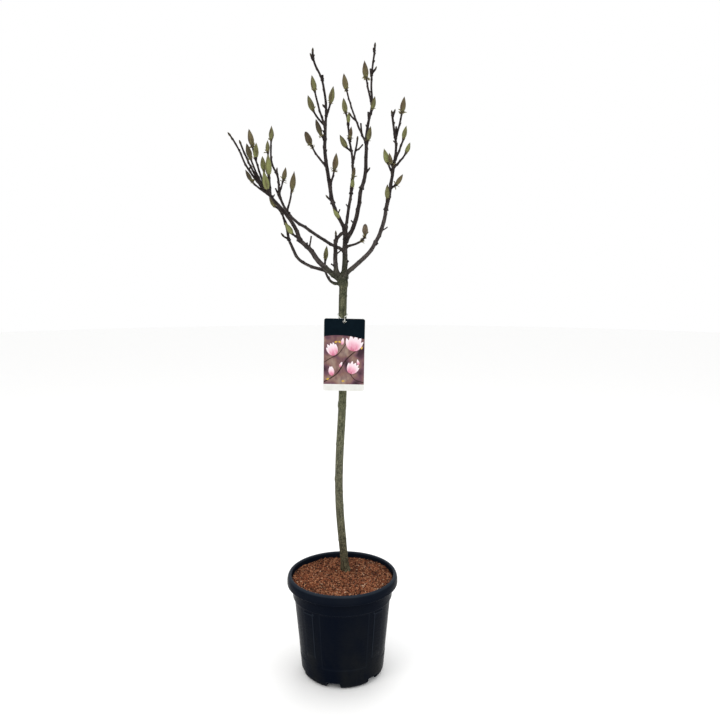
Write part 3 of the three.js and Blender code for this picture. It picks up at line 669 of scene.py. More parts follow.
# each shoot: how far up its stem, its two leans, its length, its bud's length and kind, and its side shoots;
# a kind of cut ends in a flat cut, and an empty one in a leaf bud
stemPlans = dict(
    left_twigs=dict(grows="left_bough", length=345, girth=(12, 10.6, 9.2, 7.2, 5.8, 5.2, 4.8),
                    right=(-11, -37, -43, -39, -21, -38), back=(-20, -8), shoots=(
        (0.02, -72, -35, 25, 37, "green"), (0.42, -7, 25, 138, 31, "olive"),
        (0.44, -18, -45, 20, 50, "green"), (0.44, 1, -12, 55, 53, "green"),
        (0.46, -24, 20, 149, 44, "brown", ((0.68, 5, -12, 9, 38, "green"),)),
        (0.47, -31, -15, 101, 36, "dark"), (0.45, -66, -30, 60, 30, "dark"),
        (0.46, -12, 12, 66, 37, "green"), (0.50, -33, -14, 141, 0, ""))),
    low_left_twigs=dict(grows="low_left_bough", length=109, girth=(8, 5.2), bud=28, kind="olive",
                        right=(-11, -9, -16, -31, -62), back=(-4, -4), shoots=(
        (0.04, -72, -10, 28, 0, ""), (0.42, -22, 15, 38, 0, ""))),
    long_left_twigs=dict(grows="long_left_bough", length=257, girth=(8, 5.4), bud=40, kind="olive",
                         right=(-39, -23, 0, -30, -2, 4), back=(30, 8), shoots=(
        (0.04, 18, -5, 68, 52, "brown"), (0.23, -35, 20, 36, 0, "cut"), (0.32, 22, 25, 46, 36, "brown"),
        (0.55, 2, 0, 20, 0, ""))),
    front_twigs=dict(grows="front_bough", length=405,
                     girth=(10.8, 10.4, 10, 9.6, 8.8, 6.6, 6.2, 5.8, 5.6, 5.6),
                     right=(-13, -7, -10, 0, 6, -1, -11, -30, 8), back=(-20, -5), shoots=(
        (0.02, -66, -20, 24, 0, ""), (0.12, 22, -30, 53, 40, "brown"), (0.25, -47, -20, 76, 33, "stout"),
        (0.42, -44, -35, 23, 38, "dark"), (0.51, -48, 15, 58, 41, "olive"),
        (0.50, -21, -15, 100, 37, "olive"), (0.57, 26, -20, 40, 40, "olive"), (0.63, -75, 20, 12, 0, ""),
        (0.79, 6, 0, 15, 0, "cut"), (0.93, -42, -10, 18, 0, ""))),
    rear_twigs=dict(grows="rear_bough", length=258, girth=(8.5, 5.2), bud=41, kind="olive",
                    right=(3, 6, -5, -10, -3, -18), back=(24, 7), shoots=(
        (0.03, 15, 30, 12, 33, "green"), (0.16, 19, -15, 15, 27, "brown"),
        (0.38, 14, 15, 84, 0, "", ((0.46, 62, 20, 30, 0, "cut"),)), (0.53, -65, 25, 22, 41, "olive"),
        (0.65, 10, 15, 13, 32, "brown"), (0.84, 4, -35, 9, 28, "green"))),
    tall_twigs=dict(grows="tall_bough", length=405, girth=(11, 10.4, 10, 9.2, 6.8, 6.2, 5.8, 5.4, 5),
                    right=(22, 1, 1, 15, -5, 8, 5), back=(6, -4), shoots=(
        (0.12, 60, -20, 19, 0, ""), (0.31, 27, -25, 17, 37, "olive"),
        (0.32, -24, 38, 212, 50, "brown", ((0.16, -9, -10, 34, 0, "cut"), (0.45, -55, 30, 33, 0, ""))),
        (0.49, -12, -15, 19, 0, "cut"), (0.52, 28, -30, 20, 32, "olive"), (0.59, -15, 20, 87, 48, "brown"),
        (0.78, -14, 10, 21, 0, "cut"), (0.80, 51, -10, 22, 0, ""), (0.94, -23, 0, 12, 0, ""))),
    right_twigs=dict(grows="right_bough", length=260, girth=(10.5, 9.4, 8, 6.8, 6, 5.4),
                     right=(15, 8, 10, -10, -7), back=(-10, -2), shoots=(
        (0.08, -4, -20, 14, 35, "olive"), (0.23, 75, -25, 21, 30, "brown"), (0.38, -32, 20, 34, 38, "green"),
        (0.42, -29, -30, 19, 26, "brown"), (0.44, 51, 25, 57, 28, "green"), (0.51, 28, -15, 62, 31, "green"),
        (0.72, 18, 10, 77, 38, "brown"), (0.73, 7, 25, 33, 0, "cut"), (0.94, 30, 0, 20, 0, ""))),
    second_leader_twigs=dict(grows="second_leader", length=51, girth=(10, 8.4), kind="cut",
                             right=(30, 50, 34), back=(12, 40), shoots=((0.12, -6, -12, 24, 0, ""),)),
    low_spur=dict(grows="trunk", at=0.98, length=114, girth=(11, 8.5, 6.8, 6, 5.5), bud=38, kind="olive",
                  ages=(0.82, 0.78, 0.4, 0.2, 0.12),
                  right=(-84, -84, -37, -19, 0, 9), back=(45, 10), shoots=((0.8, -40, 10, 12, 0, ""),)),
    right_spur=dict(grows="centre_leader", at=0.605, length=76, girth=(7.5, 5.6), bud=29, kind="blunt",
                    right=(72, 76, 54, 0), back=(-40, -10), shoots=((0.97, 72, -10, 10, 0, ""),)),
    front_spur=dict(grows="front_bough", at=0.22, length=24, girth=(5.6, 5), bud=34, kind="green",
                    right=(-22, -36), back=(-45, -25), budLean=(-31, -30), shoots=()),
)


def sourceRandom(seed):
    # the same row of draws as the source's, so that the spurs stand where its spurs stand
    state = seed
    while True:
        state = (state * 1664525 + 1013904223) % 4294967296
        yield state / 4294967296


def spursOn(plan, seed):
    draws = sourceRandom(seed)

    def uneven():
        return 1 + (next(draws) * 2 - 1) * spurPlan["uneven"]

    bearing = next(draws) * 360
    along = spurPlan["spacing"] * uneven()
    while along < plan["length"] - spurPlan["longest"]:
        slope = math.tan(math.radians(spurPlan["lean"] * uneven()))
        right = math.degrees(math.atan(slope * math.cos(math.radians(bearing))))
        back = math.degrees(math.atan(slope * math.sin(math.radians(bearing))))
        t = along / plan["length"]
        proud = spurPlan["shortest"] + (spurPlan["longest"] - spurPlan["shortest"]) * next(draws)
        yield t, right, back, spread((plan["girth"][0], plan["girth"][-1]), t) / 2 + proud
        bearing += spurPlan["turn"]
        along += spurPlan["spacing"] * uneven()


def growTwigs(limbs):
    # gives every twig as a limb, and every bud as its foot, direction, length and kind
    p, ease = twigPlan, twigPlan["ease"]
    draw = random.Random(p["seed"])
    twigs, buds, leafBuds = [], [], []

    def addTwig(parent, t, plan, spacing, ages, zigzag):
        cut = plan.get("kind") == "cut"
        twig = newLimb("twig", pointAt(parent, t), plan, draw, spacing, [parent], ages, zigzag,
                       offset=p["offset"] + p["offsetStep"] * len(twigs), cut=cut)
        last = plan["length"]
        if plan.get("bud"):
            twig["rings"] = [last - step for step in p["rings"]]
            twig["nodes"] = [node for node in twig["nodes"] if node[0] < last - p["clearFoot"]]
            twig["collar"] = p["collars"].get(plan["kind"], p["collar"])
            steps = max(round(last / p["freshWood"]), 2)
            twig["ages"] = [spread(ages, k / steps) for k in range(steps)] + [0.0]
        elif not cut:
            size = min(p["leafBud"], last * p["leafBudShare"]) * draw.uniform(*p["leafBudUneven"])
            twig["stop"] = last - size * p["leafBudOver"]
            twig["nodes"] = [node for node in twig["nodes"] if node[0] < last - size]
            leafBuds.append((twig, size))
        twigs.append(twig)
        return twig

    def addBud(stem, axis, plan):
        if plan.get("bud"):
            bud = dict(foot=pointAt(stem, 1), axis=axis, length=plan["bud"], kind=plan["kind"], stem=stem)
            buds.append(bud)

    def eased(length, girth, right, back, **more):
        return dict(length=length, girth=girth, right=(right, right * ease), back=(back, back * ease), **more)

    def addShoot(stem, girth, t, right, back, length, bud, kind, sides=()):
        plan = eased(length, girth, right, back, bud=bud, kind=kind)
        spacing, *rest = p["shoot"]
        twig = addTwig(stem, t, plan, spacing if length > p["shortShoot"] else p["shortSpacing"], *rest)
        addBud(twig, heading(plan["right"][1] * p["budEase"], plan["back"][1] * p["budEase"]), plan)
        for side in sides:
            addShoot(twig, (p["tipGirth"], p["tipGirth"]), *side)

    for count, (name, plan) in enumerate(stemPlans.items()):
        spacing, ages, zigzag = p["stem"]
        stem = addTwig(limbs[plan["grows"]], plan.get("at", 1), plan, spacing, plan.get("ages", ages), zigzag)
        limbs[name] = stem
        upward = unit(directionAt(stem, 1) * 0.5 + np.array((0, 0, 0.5)))
        addBud(stem, heading(*plan["budLean"]) if "budLean" in plan else upward, plan)
        for shoot in plan["shoots"]:
            addShoot(stem, (p["girth"], p["tipGirth"]), *shoot)
        for t, right, back, length in spursOn(plan, spurPlan["seed"] + count):
            addTwig(stem, t, eased(length, spurPlan["girth"], right, back), *p["spur"])
    return twigs, buds, leafBuds


def makeTwigs(twigs):
    p = twigPlan
    parts = []
    for twig in twigs:
        sides = p["longSides"] if twig["length"] > p["longest"] else p["sides"]
        parts.append(limbMesh(twig, sides, p["rowSpacing"], barkGrain["twig"]))
    addPiece("twigBark", parts, barkMaterial("twig"), "twigs_and_buds", *stemPlans)


# buds

def budProfile(t, blunt):
    # width at a share of the length: a rounded foot, widest low down, and closing in to the tip
    widest, foot = 0.31, 0.64
    low = 1 - (1 - t / widest) ** 2 * (1 - foot)
    u = np.clip((t - widest) / (1 - widest), 0, 1)
    return np.where(t < widest, low, (1 - u ** 1.7) ** blunt)


# the two great scales: the lowest and highest share of the bud that each covers, how proud their edges stand,
# how wide they are and how far they wind round; the low ribs under them; and how far the tip bends
scaleForm = dict(spans=((-0.2, 0.86), (0.1, 1.0)), proud=0.06, width=1.6, wind=1.1, fade=9,
                 ribs=3, ribHeight=0.03, bend=(0.01, 0.05))


def budMesh(foot, axis, length, width, sides, rings, draw, scales=True, blunt=1.1):
    # one bud: overlapping scales whose edges wind up it, and a tip that bends a little
    p = scaleForm
    t = np.linspace(0, 1, rings) ** 0.92
    angle = bearings(sides)
    radius = np.maximum(budProfile(t, blunt), 0.02) * width / 2
    bendWay = draw.uniform(0, 2 * math.pi)
    bend = length * draw.uniform(*p["bend"])
    side = unit(np.cross(axis, (0.3, 0.9, 0.1)))
    across = np.cross(axis, side)
    reach = np.repeat(radius[:, None], sides, axis=1)
    if scales:
        for start, (low, high) in [(draw.uniform(0, 6.28), span) for span in p["spans"]]:
            edge = (angle[None, :] - start - p["wind"] * t[:, None]) % (2 * math.pi)
            here = np.clip((t - low) * p["fade"], 0, 1) * np.clip((high - t) * p["fade"], 0, 1)
            reach += (p["proud"] * radius * here)[:, None] * np.clip(1 - edge / p["width"], 0, 1)
        ribs = np.cos(angle * p["ribs"] + draw.uniform(0, 6.28))
        reach += radius[:, None] * p["ribHeight"] * ribs * t[:, None]
    ring = side * np.cos(angle)[:, None] + across * np.sin(angle)[:, None]
    middle = np.asarray(foot) + axis * (t * length)[:, None]
    middle = middle + (side * math.cos(bendWay) + across * math.sin(bendWay)) * (bend * t ** 2.2)[:, None]
    points = middle[:, None] + ring * reach[..., None]
    quads, tris = tubeFaces(rings, sides)
    run = (t * length)[:, None] + draw.uniform(0, 900)
    grain = stacked(np.cos(angle) * width / 2, np.sin(angle) * width / 2, run)
    return dict(points=np.concatenate([points.reshape(-1, 3), middle[[0, -1]]]), quads=quads, tris=tris,
                grain=withEnds(grain) * mm, along=np.concatenate([np.repeat(t, sides), t[[0, -1]]]))


# length, thickness and lift of the silky hairs, how far their ways differ and how deep they are rooted
hairForm = dict(length=(1.2, 2.6), thickness=(0.09, 0.17), lift=(0.06, 0.26), spread=0.2, sunk=0.12,
                corners=4)


def furOn(part, axis, count, seed):
    # fine silky hairs that lie along the bud, each a sliver with three sides
    p = hairForm
    draw = np.random.default_rng(seed)
    corners = part["points"][part["quads"]]
    faceNormal = np.cross(corners[:, 2] - corners[:, 0], corners[:, 3] - corners[:, 1])
    area = np.linalg.norm(faceNormal, axis=1)
    faceNormal = faceNormal / np.maximum(area, 1e-9)[:, None]
    pick = draw.choice(len(area), count, p=area / area.sum())
    u, v = draw.random((count, 1)), draw.random((count, 1))
    shares = ((1 - u) * (1 - v), u * (1 - v), u * v, (1 - u) * v)
    root = sum(corners[pick, k] * share for k, share in enumerate(shares))
    normal = faceNormal[pick]
    onward = unit(axis - normal * (normal @ axis)[:, None])
    sideways = np.cross(normal, onward)
    lift = draw.uniform(*p["lift"], (count, 1))
    way = unit(onward + normal * lift + sideways * draw.normal(0, p["spread"], (count, 1)))
    long = draw.uniform(*p["length"], (count, 1))
    thick = draw.uniform(*p["thickness"], (count, 1))
    root = root - normal * p["sunk"]
    points = np.stack([root + sideways * thick, root - sideways * thick, root + normal * thick * 1.2,
                       root + way * long], axis=1).reshape(-1, 3)
    faces = np.array([(1, 0, 3), (2, 1, 3), (0, 2, 3), (0, 1, 2)])
    tris = (np.arange(count)[:, None, None] * p["corners"] + faces).reshape(-1, 3)
    rooted = part["quads"][pick, 0]
    return dict(points=points, tris=tris, along=np.repeat(part["along"][rooted], p["corners"]),
                grain=np.repeat(part["grain"][rooted], p["corners"], axis=0))


# half its width at the foot and how much wider it grows, how squarely its tip closes, and half its thickness
flakeForm = dict(foot=0.55, spread=0.9, close=2.6, thin=0.22)


def flake(foot, way, out, length, width, cup, curl, rows=5, columns=4):
    # a small cupped scale with a thin body: way is along it and out is its back
    side = np.cross(way, out)
    u = np.linspace(0, 1, rows)[:, None]
    v = np.linspace(-1, 1, columns)[None, :]
    p = flakeForm
    half = width / 2 * (p["foot"] + p["spread"] * u) * np.sqrt(np.clip(1 - u ** p["close"], 0.004, 1))
    spot = np.asarray(foot) + way * (u * length)[..., None]
    spot = spot + side * (v * half)[..., None] + out * (curl * u ** 2 - cup * v ** 2 * half)[..., None]
    thin = out * p["thin"]
    points = np.concatenate([(spot + thin).reshape(-1, 3), (spot - thin).reshape(-1, 3)])
    faces = []
    back = rows * columns
    for i in range(rows - 1):
        for j in range(columns - 1):
            a = i * columns + j
            faces += [(a, a + 1, a + columns + 1, a + columns),
                      (back + a, back + a + columns, back + a + columns + 1, back + a + 1)]
        left, right = i * columns, i * columns + columns - 1
        faces += [(left, left + columns, back + left + columns, back + left),
                  (right, back + right, back + right + columns, right + columns)]
    for j in range(columns - 1):
        a, b = j, (rows - 1) * columns + j
        faces += [(a, back + a, back + a + 1, a + 1), (b, b + 1, back + b + 1, back + b)]
    return dict(points=points, quads=np.array(faces))


budPlan = dict(widthByLength=0.385, uneven=(0.93, 1.07), widest=17.3, sides=26, rings=20, sunk=0.8,
               hairs=1000, hairsFor=40, seed=77, scaleWidth=(3.6, 6.4), scaleCup=0.5, scaleCurl=(-1.8, 2.4),
               scaleOut=2.4, bluntness=(0.85, 1.15),
               torn=((0.22, 0.20, 0.085), (0.090, 0.062, 0.034), 260, 0.75))
# the colours at a bud's foot, on its body, at its tip, in its silk and on its shaded side
budColors = {kind: dict(zip(("base", "body", "tip", "streak", "shade"), colors)) for kind, colors in dict(
    green=((0.245, 0.265, 0.105), (0.200, 0.218, 0.080), (0.098, 0.082, 0.038), (0.29, 0.30, 0.14),
           (0.100, 0.084, 0.040)),
    olive=((0.200, 0.210, 0.085), (0.145, 0.142, 0.060), (0.052, 0.035, 0.022), (0.215, 0.21, 0.11),
           (0.068, 0.048, 0.030)),
    brown=((0.158, 0.155, 0.068), (0.132, 0.110, 0.056), (0.046, 0.030, 0.021), (0.200, 0.165, 0.096),
           (0.064, 0.041, 0.027)),
    dark=((0.105, 0.10, 0.042), (0.070, 0.058, 0.033), (0.030, 0.021, 0.016), (0.12, 0.11, 0.065),
          (0.042, 0.030, 0.021)),
    stout=((0.095, 0.085, 0.038), (0.085, 0.066, 0.038), (0.034, 0.023, 0.018), (0.13, 0.105, 0.07),
           (0.045, 0.030, 0.022)),
    blunt=((0.14, 0.12, 0.07), (0.135, 0.102, 0.066), (0.030, 0.022, 0.018), (0.28, 0.24, 0.18),
           (0.070, 0.046, 0.032)),
    leaf=((0.060, 0.050, 0.030), (0.055, 0.045, 0.027), (0.030, 0.022, 0.016), (0.12, 0.11, 0.07),
          (0.030, 0.021, 0.017))).items()}
# each kind's form: its girth, bluntness and length, its torn scales, how far they lift and how far down they
# go; a kind's own values take the place of the plain ones
plainBud = dict(girth=1.0, blunt=1.0, short=1.0)
budForms = {kind: dict(plainBud, **form) for kind, form in dict(
    green=dict(scales=3, lift=(0.3, 1.1), scaleLength=(4, 8), ragged=5),
    olive=dict(scales=5, lift=(0.4, 1.5), scaleLength=(5, 10), ragged=6),
    brown=dict(scales=9, lift=(0.9, 1.8), scaleLength=(6, 12), ragged=11),
    dark=dict(blunt=0.9, scales=8, lift=(0.8, 1.8), scaleLength=(5, 10), ragged=10),
    stout=dict(girth=1.45, blunt=0.55, scales=14, lift=(0.5, 1.6), scaleLength=(5, 11), ragged=18),
    blunt=dict(girth=1.5, blunt=0.42, short=0.93, scales=24, lift=(0.3, 1.4), scaleLength=(6, 13), ragged=34),
).items()}


def tornScale(bud, form, draw):
    # what is left of a leaf below the bud, somewhere round its foot
    stem = bud["stem"]
    spot = max(1 - draw.uniform(0.5, form["ragged"]) / stem["length"], 0)
    onward = directionAt(stem, spot)
    side = unit(np.cross(onward, (0.2, 0.9, 0.4)))
    bearing = draw.uniform(0, 2 * math.pi)
    out = side * math.cos(bearing) + np.cross(onward, side) * math.sin(bearing)
    lift = draw.uniform(*form["lift"])
    way = unit(onward * math.cos(lift) + out * math.sin(lift))
    back = unit(out - way * (out @ way))
    length, width = draw.uniform(*form["scaleLength"]), draw.uniform(*budPlan["scaleWidth"])
    middle, curl = pointAt(stem, spot) + out * budPlan["scaleOut"], draw.uniform(*budPlan["scaleCurl"])
    return flake(middle, way, back, length, width, budPlan["scaleCup"], curl)


def makeBuds(buds):
    p = budPlan
    draw = random.Random(p["seed"])
    bodies, furs = ({kind: [] for kind in budForms} for _ in range(2))
    scales = []
    for count, bud in enumerate(buds):
        form = budForms[bud["kind"]]
        length = bud["length"] * form["short"]
        width = min(length * p["widthByLength"] * draw.uniform(*p["uneven"]), p["widest"]) * form["girth"]
        foot = bud["foot"] - bud["axis"] * p["sunk"]
        part = budMesh(foot, bud["axis"], length, width, p["sides"], p["rings"], draw,
                       blunt=form["blunt"] * draw.uniform(*p["bluntness"]))
        bodies[bud["kind"]].append(part)
        hairs = round(p["hairs"] * length / p["hairsFor"])
        furs[bud["kind"]].append(furOn(part, bud["axis"], hairs, p["seed"] + count))
        scales += [tornScale(bud, form, draw) for _ in range(form["scales"])]
    for kind in budForms:
        colors = budColors[kind]
        addPiece(kind + "Buds", bodies[kind], budMaterial(kind + "Bud", **colors), "twigs_and_buds")
        downy = dict(colors, base=colors["body"], body=colors["streak"])
        addPiece(kind + "BudDown", furs[kind], budMaterial(kind + "Down", **downy), "twigs_and_buds")
    addPiece("tornScales", scales, speckledMaterial("tornScale", *p["torn"]), "twigs_and_buds")


smallPlan = dict(seed=31, sway=0.1, upward=0.1, widthByLength=0.5, overTip=1.12, widest=6.6,
                 sides=10, rings=9, blunt=0.8, onBoughs=0.35,
                 sleeping=(2.6, 5.2), sleepingSides=7, sleepingRings=6, sleepingWidth=0.48,
                 sleepingLean=0.55, sleepingOut=0.8, sleepingUp=0.6,
                 padLength=(2.0, 2.8), padWidth=(2.2, 3.4), padCup=0.22, padLow=1.5,
                 padShare=0.34, padMost=1.1, padOut=0.62,
                 cork=((0.085, 0.066, 0.050), (0.035, 0.026, 0.022), 900, 0.9))


def makeSmallBuds(twigs, boughs, leafBuds):
    # a narrow leaf bud on each bare tip, and a tiny sleeping bud above each leaf scar
    p = smallPlan
    draw = random.Random(p["seed"])
    slim, sleeping, scars = [], [], []
    for twig, size in leafBuds:
        sway = [draw.uniform(-p["sway"], p["sway"]) for _ in range(2)] + [p["upward"]]
        axis = unit(directionAt(twig, 1) + np.array(sway))
        width = min(max(size * p["widthByLength"], twig["girth"][-1] * p["overTip"]), p["widest"])
        foot = pointAt(twig, twig["stop"] / twig["length"]) - axis * size * 0.1
        slim.append(budMesh(foot, axis, size, width, p["sides"], p["rings"], draw, False, p["blunt"]))
    for limb in twigs + boughs:
        _, normals, binormals = framesAlong(limb["path"])
        for along, bearing in limb["nodes"]:
            step = min(int(along), len(limb["path"]) - 1)
            out = normals[step] * math.cos(bearing) + binormals[step] * math.sin(bearing)
            t = along / limb["length"]
            here, onward, radius = pointAt(limb, t), directionAt(limb, t), girthAt(limb, t)[0] / 2
            if limb["kind"] == "twig" or draw.random() < p["onBoughs"]:
                size = draw.uniform(*p["sleeping"])
                foot = here + out * radius * p["sleepingOut"] + onward * p["sleepingUp"]
                axis, width = unit(onward + out * p["sleepingLean"]), size * p["sleepingWidth"]
                sleeping.append(budMesh(foot, axis, size, width, p["sleepingSides"], p["sleepingRings"],
                                        draw, False))
            length, width = draw.uniform(*p["padLength"]), draw.uniform(*p["padWidth"])
            lift = min(radius * p["padShare"], p["padMost"]) * p["padOut"]
            foot = here + out * (radius + lift) - onward * p["padLow"]
            scars.append(flake(foot, onward, out, length, width, p["padCup"], 0.0, rows=3, columns=3))
    material = budMaterial("leafBud", **budColors["leaf"])
    addPiece("leafBuds", slim, material, "twigs_and_buds")
    addPiece("sleepingBuds", sleeping, material, "twigs_and_buds")
    addPiece("leafScars", scars, speckledMaterial("scarCork", *p["cork"]), "twigs_and_buds")


# compost

compostPlan = dict(edge=152.0, crown=287.5, rim=283.0, bank=4.0, sides=96, rings=26, centre=2.0,
                   # radius and height of the side's rings, and size, seed and height of the heaps
                   side=((141.3, 228), (145.8, 243), (145.8, 273.6), (151.9, 280.6)),
                   heaps=((34, 3, 1.8), (12, 4, 1.1)), chipSpecks=(380, 0.85),
                   soil=((0.030, 0.013, 0.008), (0.075, 0.030, 0.017), 420, 0.95), seed=90, strandSeed=140)
# how many, their lengths, widths and depths, and how far they tilt
chipForm = (10200, (2.6, 10.0), (1.6, 4.6), (0.8, 2.6), 0.42)
strandForm = (1500, (10, 21), (0.7, 1.6), (0.5, 1.1), 0.16)
# how their lengths and corners differ, how high they lie, and how near the wall
shardPlan = dict(stretch=(0.6, 1.25), corners=(0.55, 1.0), above=(-0.8, 2.6), inside=3.5, past=0.2)
chipColors = (
    # name, share of the chips, colour, flecks in it
    ("rust", 0.38, (0.215, 0.064, 0.027), (0.32, 0.110, 0.050)),
    ("umber", 0.26, (0.084, 0.026, 0.012), (0.15, 0.049, 0.024)),
    ("tan", 0.20, (0.38, 0.158, 0.074), (0.50, 0.235, 0.120)),
    ("black", 0.15, (0.012, 0.006, 0.004), (0.038, 0.016, 0.010)),
    ("straw", 0.02, (0.50, 0.32, 0.20), (0.60, 0.41, 0.28)),
)


def compostHeight(x, y):
    # higher in the middle than at the wall, banked up at two sides, with small heaps
    across = np.maximum(np.hypot(x, y), 1)
    away = across / compostPlan["edge"]
    wall = compostPlan["rim"] + compostPlan["bank"] * np.abs(x) / across
    spots = stacked(x, y, 0.0)
    heaps = sum(softNoise(spots, size, seed) * height for size, seed, height in compostPlan["heaps"])
    return compostPlan["crown"] + (wall - compostPlan["crown"]) * away ** 3 + heaps


def compostBed():
    p = compostPlan
    x, y = np.cos(bearings(p["sides"])), np.sin(bearings(p["sides"]))
    across = np.linspace(p["edge"], p["centre"], p["rings"])[:, None]
    top = stacked(across * x, across * y, compostHeight(across * x, across * y))
    side = np.stack([stacked(radius * x, radius * y, float(up)) for radius, up in p["side"]])
    points = np.concatenate([side, top])
    quads, tris = tubeFaces(len(points), p["sides"])
    ends = [(0, 0, p["side"][0][1]), (0, 0, top[-1, :, 2].mean())]
    return dict(points=np.concatenate([points.reshape(-1, 3), ends]), quads=quads, tris=tris)


def shards(count, lengths, widths, depths, tilt, seed):
    # split, angular bits: boxes with uneven corners, lying nearly flat
    p, draw = shardPlan, np.random.default_rng(seed)
    size = np.stack([draw.uniform(*lengths, count) * draw.uniform(*p["stretch"], count),
                     draw.uniform(*widths, count), draw.uniform(*depths, count)], axis=-1)
    corners = np.array([(x, y, z) for z in (-1, 1) for y in (-1, 1) for x in (-1, 1)], float) / 2
    shape = corners[None] * size[:, None] * draw.uniform(*p["corners"], (count, 8, 3))
    angles = draw.uniform(0, 2 * math.pi, count), draw.normal(0, tilt, count), draw.normal(0, tilt, count)
    (cy, sy), (cp, sp), (cr, sr) = ((np.cos(a), np.sin(a)) for a in angles)     # yaw, pitch and roll
    turn = np.array([(cy * cp, cy * sp * sr - sy * cr, cy * sp * cr + sy * sr),
                     (sy * cp, sy * sp * sr + cy * cr, sy * sp * cr - cy * sr),
                     (-sp, cp * sr, cp * cr)])
    shape = np.einsum("ijn,nkj->nki", turn, shape)
    away = (compostPlan["edge"] - p["inside"]) * np.sqrt(draw.uniform(0, 1, count))
    bearing = draw.uniform(0, 2 * math.pi, count)
    x, y = away * np.cos(bearing), away * np.sin(bearing)
    place = np.stack([x, y, compostHeight(x, y) + draw.uniform(*p["above"], count)], axis=-1)
    points = shape + place[:, None]
    reach = np.hypot(points[..., 0], points[..., 1])
    points[..., :2] *= np.minimum(1, (compostPlan["edge"] + p["past"]) / reach)[..., None]
    faces = np.array([(0, 2, 3, 1), (4, 5, 7, 6), (0, 1, 5, 4), (2, 6, 7, 3), (0, 4, 6, 2), (1, 3, 7, 5)])
    quads = (np.arange(count)[:, None, None] * 8 + faces).reshape(-1, 4)
    return dict(points=points.reshape(-1, 3), quads=quads)


def shadeAndDampen(material):
    # painted shade, darker towards the back, and broad moist patches here and there
    look = Look(material)
    place = look.objectPlace()
    unshaded = look.shader.inputs["Base Color"].links[0].from_socket
    # painted shade: the ramp on depth darkens the compost towards the back; the noise adds moist patches
    depth = look.times(look.math("ADD", look.axis(place, "Y"), 0.15), 3.33)
    backShadeAndDamp = look.tinted(look.ramp(depth, (0.35, 1.0), (1.0, 0.66)),
                       look.ramp(look.noise(place, 11, 2), (0.40, 0.80), (0.62, 1.04)))
    return look.finish(look.tinted(unshaded, backShadeAndDamp))


def makeCompost():
    p = compostPlan
    soil = speckledMaterial("compostSoil", *p["soil"])
    addPiece("compostBed", [compostBed()], soil, "bark_compost", "compost")
    for count, (name, share, color, fleck) in enumerate(chipColors):
        parts = [shards(round(total * share), *form, seed + count)
                 for (total, *form), seed in ((chipForm, p["seed"]), (strandForm, p["strandSeed"]))]
        # each chip colour gets painted shade towards the back and moist patches
        material = shadeAndDampen(speckledMaterial(name + "Bark", color, fleck, *p["chipSpecks"]))
        addPiece(name + "Chips", parts, material, "bark_compost", smooth=False)


# container

potPlan = dict(height=303, steps=240, wall=3, floor=4, wallRows=42,
               footRadius=112, footRoll=6, footRise=16, footThick=32, footLedge=22,
               sideLow=125, sideHigh=145.3, sideTop=233, collarRadius=149.5, collarLow=238, collarHigh=274,
               lipRadius=166, lipBand=276.5, lipShoulder=284, lipCrest=158, lipInner=153,
               ribBearings=(48, 138, 228, 318), ribHalf=7.6, ribLow=80, ribHigh=230, ribRim=1.3, ribProud=1.8,
               ribFade=(0.0, 0.45, 0.8), panelBearings=(4, 94, 184, 274), panelHalf=29, panelLow=62,
               panelHigh=231, panelRim=1.6, panelDepth=0.8, notchFirst=258, notchCount=6, notchWidth=42,
               notchHeight=19, notchBack=82, notchFront=12, notchRound=2.2,
               drainCount=8, drainAcross=62, drainRadius=6, drainDepth=14, drainSides=28)


def arc(centre, radii, fromAngle, toAngle, steps):
    turns = np.radians(np.linspace(fromAngle, toAngle, steps + 1))
    return [(centre[0] + radii[0] * math.cos(a), centre[1] + radii[1] * math.sin(a)) for a in turns]


def potOutline():
    # pairs of radius and height: up the outside, over the lip and down the inside to the floor
    p = potPlan
    foot, roll = p["footRadius"], p["footRoll"]
    side, high, top = p["sideLow"], p["sideHigh"], p["sideTop"]
    collar, low, under = p["collarRadius"], p["collarLow"], p["collarHigh"]
    lip, crest, band = p["lipRadius"], p["lipCrest"], p["lipBand"]
    rise = np.linspace(p["footRise"], top, p["wallRows"] + 1)[1:]
    wide = np.linspace(side, high, p["wallRows"] + 1)[1:]
    pole, hollow, inner = 40, foot - p["footThick"], collar - p["wall"]
    return [
        (pole, 0), (hollow, 0), (foot, 0), *arc((foot, roll), (roll, roll), -70, -20, 3),
        (side - 2, 8.5), (side - 0.6, 12), (side, p["footRise"]), *zip(wide.tolist(), rise.tolist()),
        (high + 0.8, top + 2.2), (collar - 1.4, low - 1.6), (collar - 0.3, low - 0.6), (collar, low + 1),
        # the lip's nearly level underside, its crisp lower edge and its upright band
        (collar, under - 2.5), (collar + 0.7, under - 0.5), (collar + 2.4, under + 0.4),
        (lip - 3, under + 1.1), (lip - 0.9, under + 1.5), (lip - 0.2, band - 0.2), (lip, band + 0.8),
        *arc((crest, p["lipShoulder"]), (lip - crest, p["height"] - p["lipShoulder"]), 0, 90, 12),
        *arc((crest, p["height"] - 3), (crest - p["lipInner"], 3), 115, 180, 4),
        (p["lipInner"], under + 7), (inner, under), (inner, low + 3), (high - p["wall"], top),
        (side - p["wall"], p["footLedge"] + roll), (hollow, p["footLedge"]), (hollow, p["floor"]),
        (pole, p["floor"])]


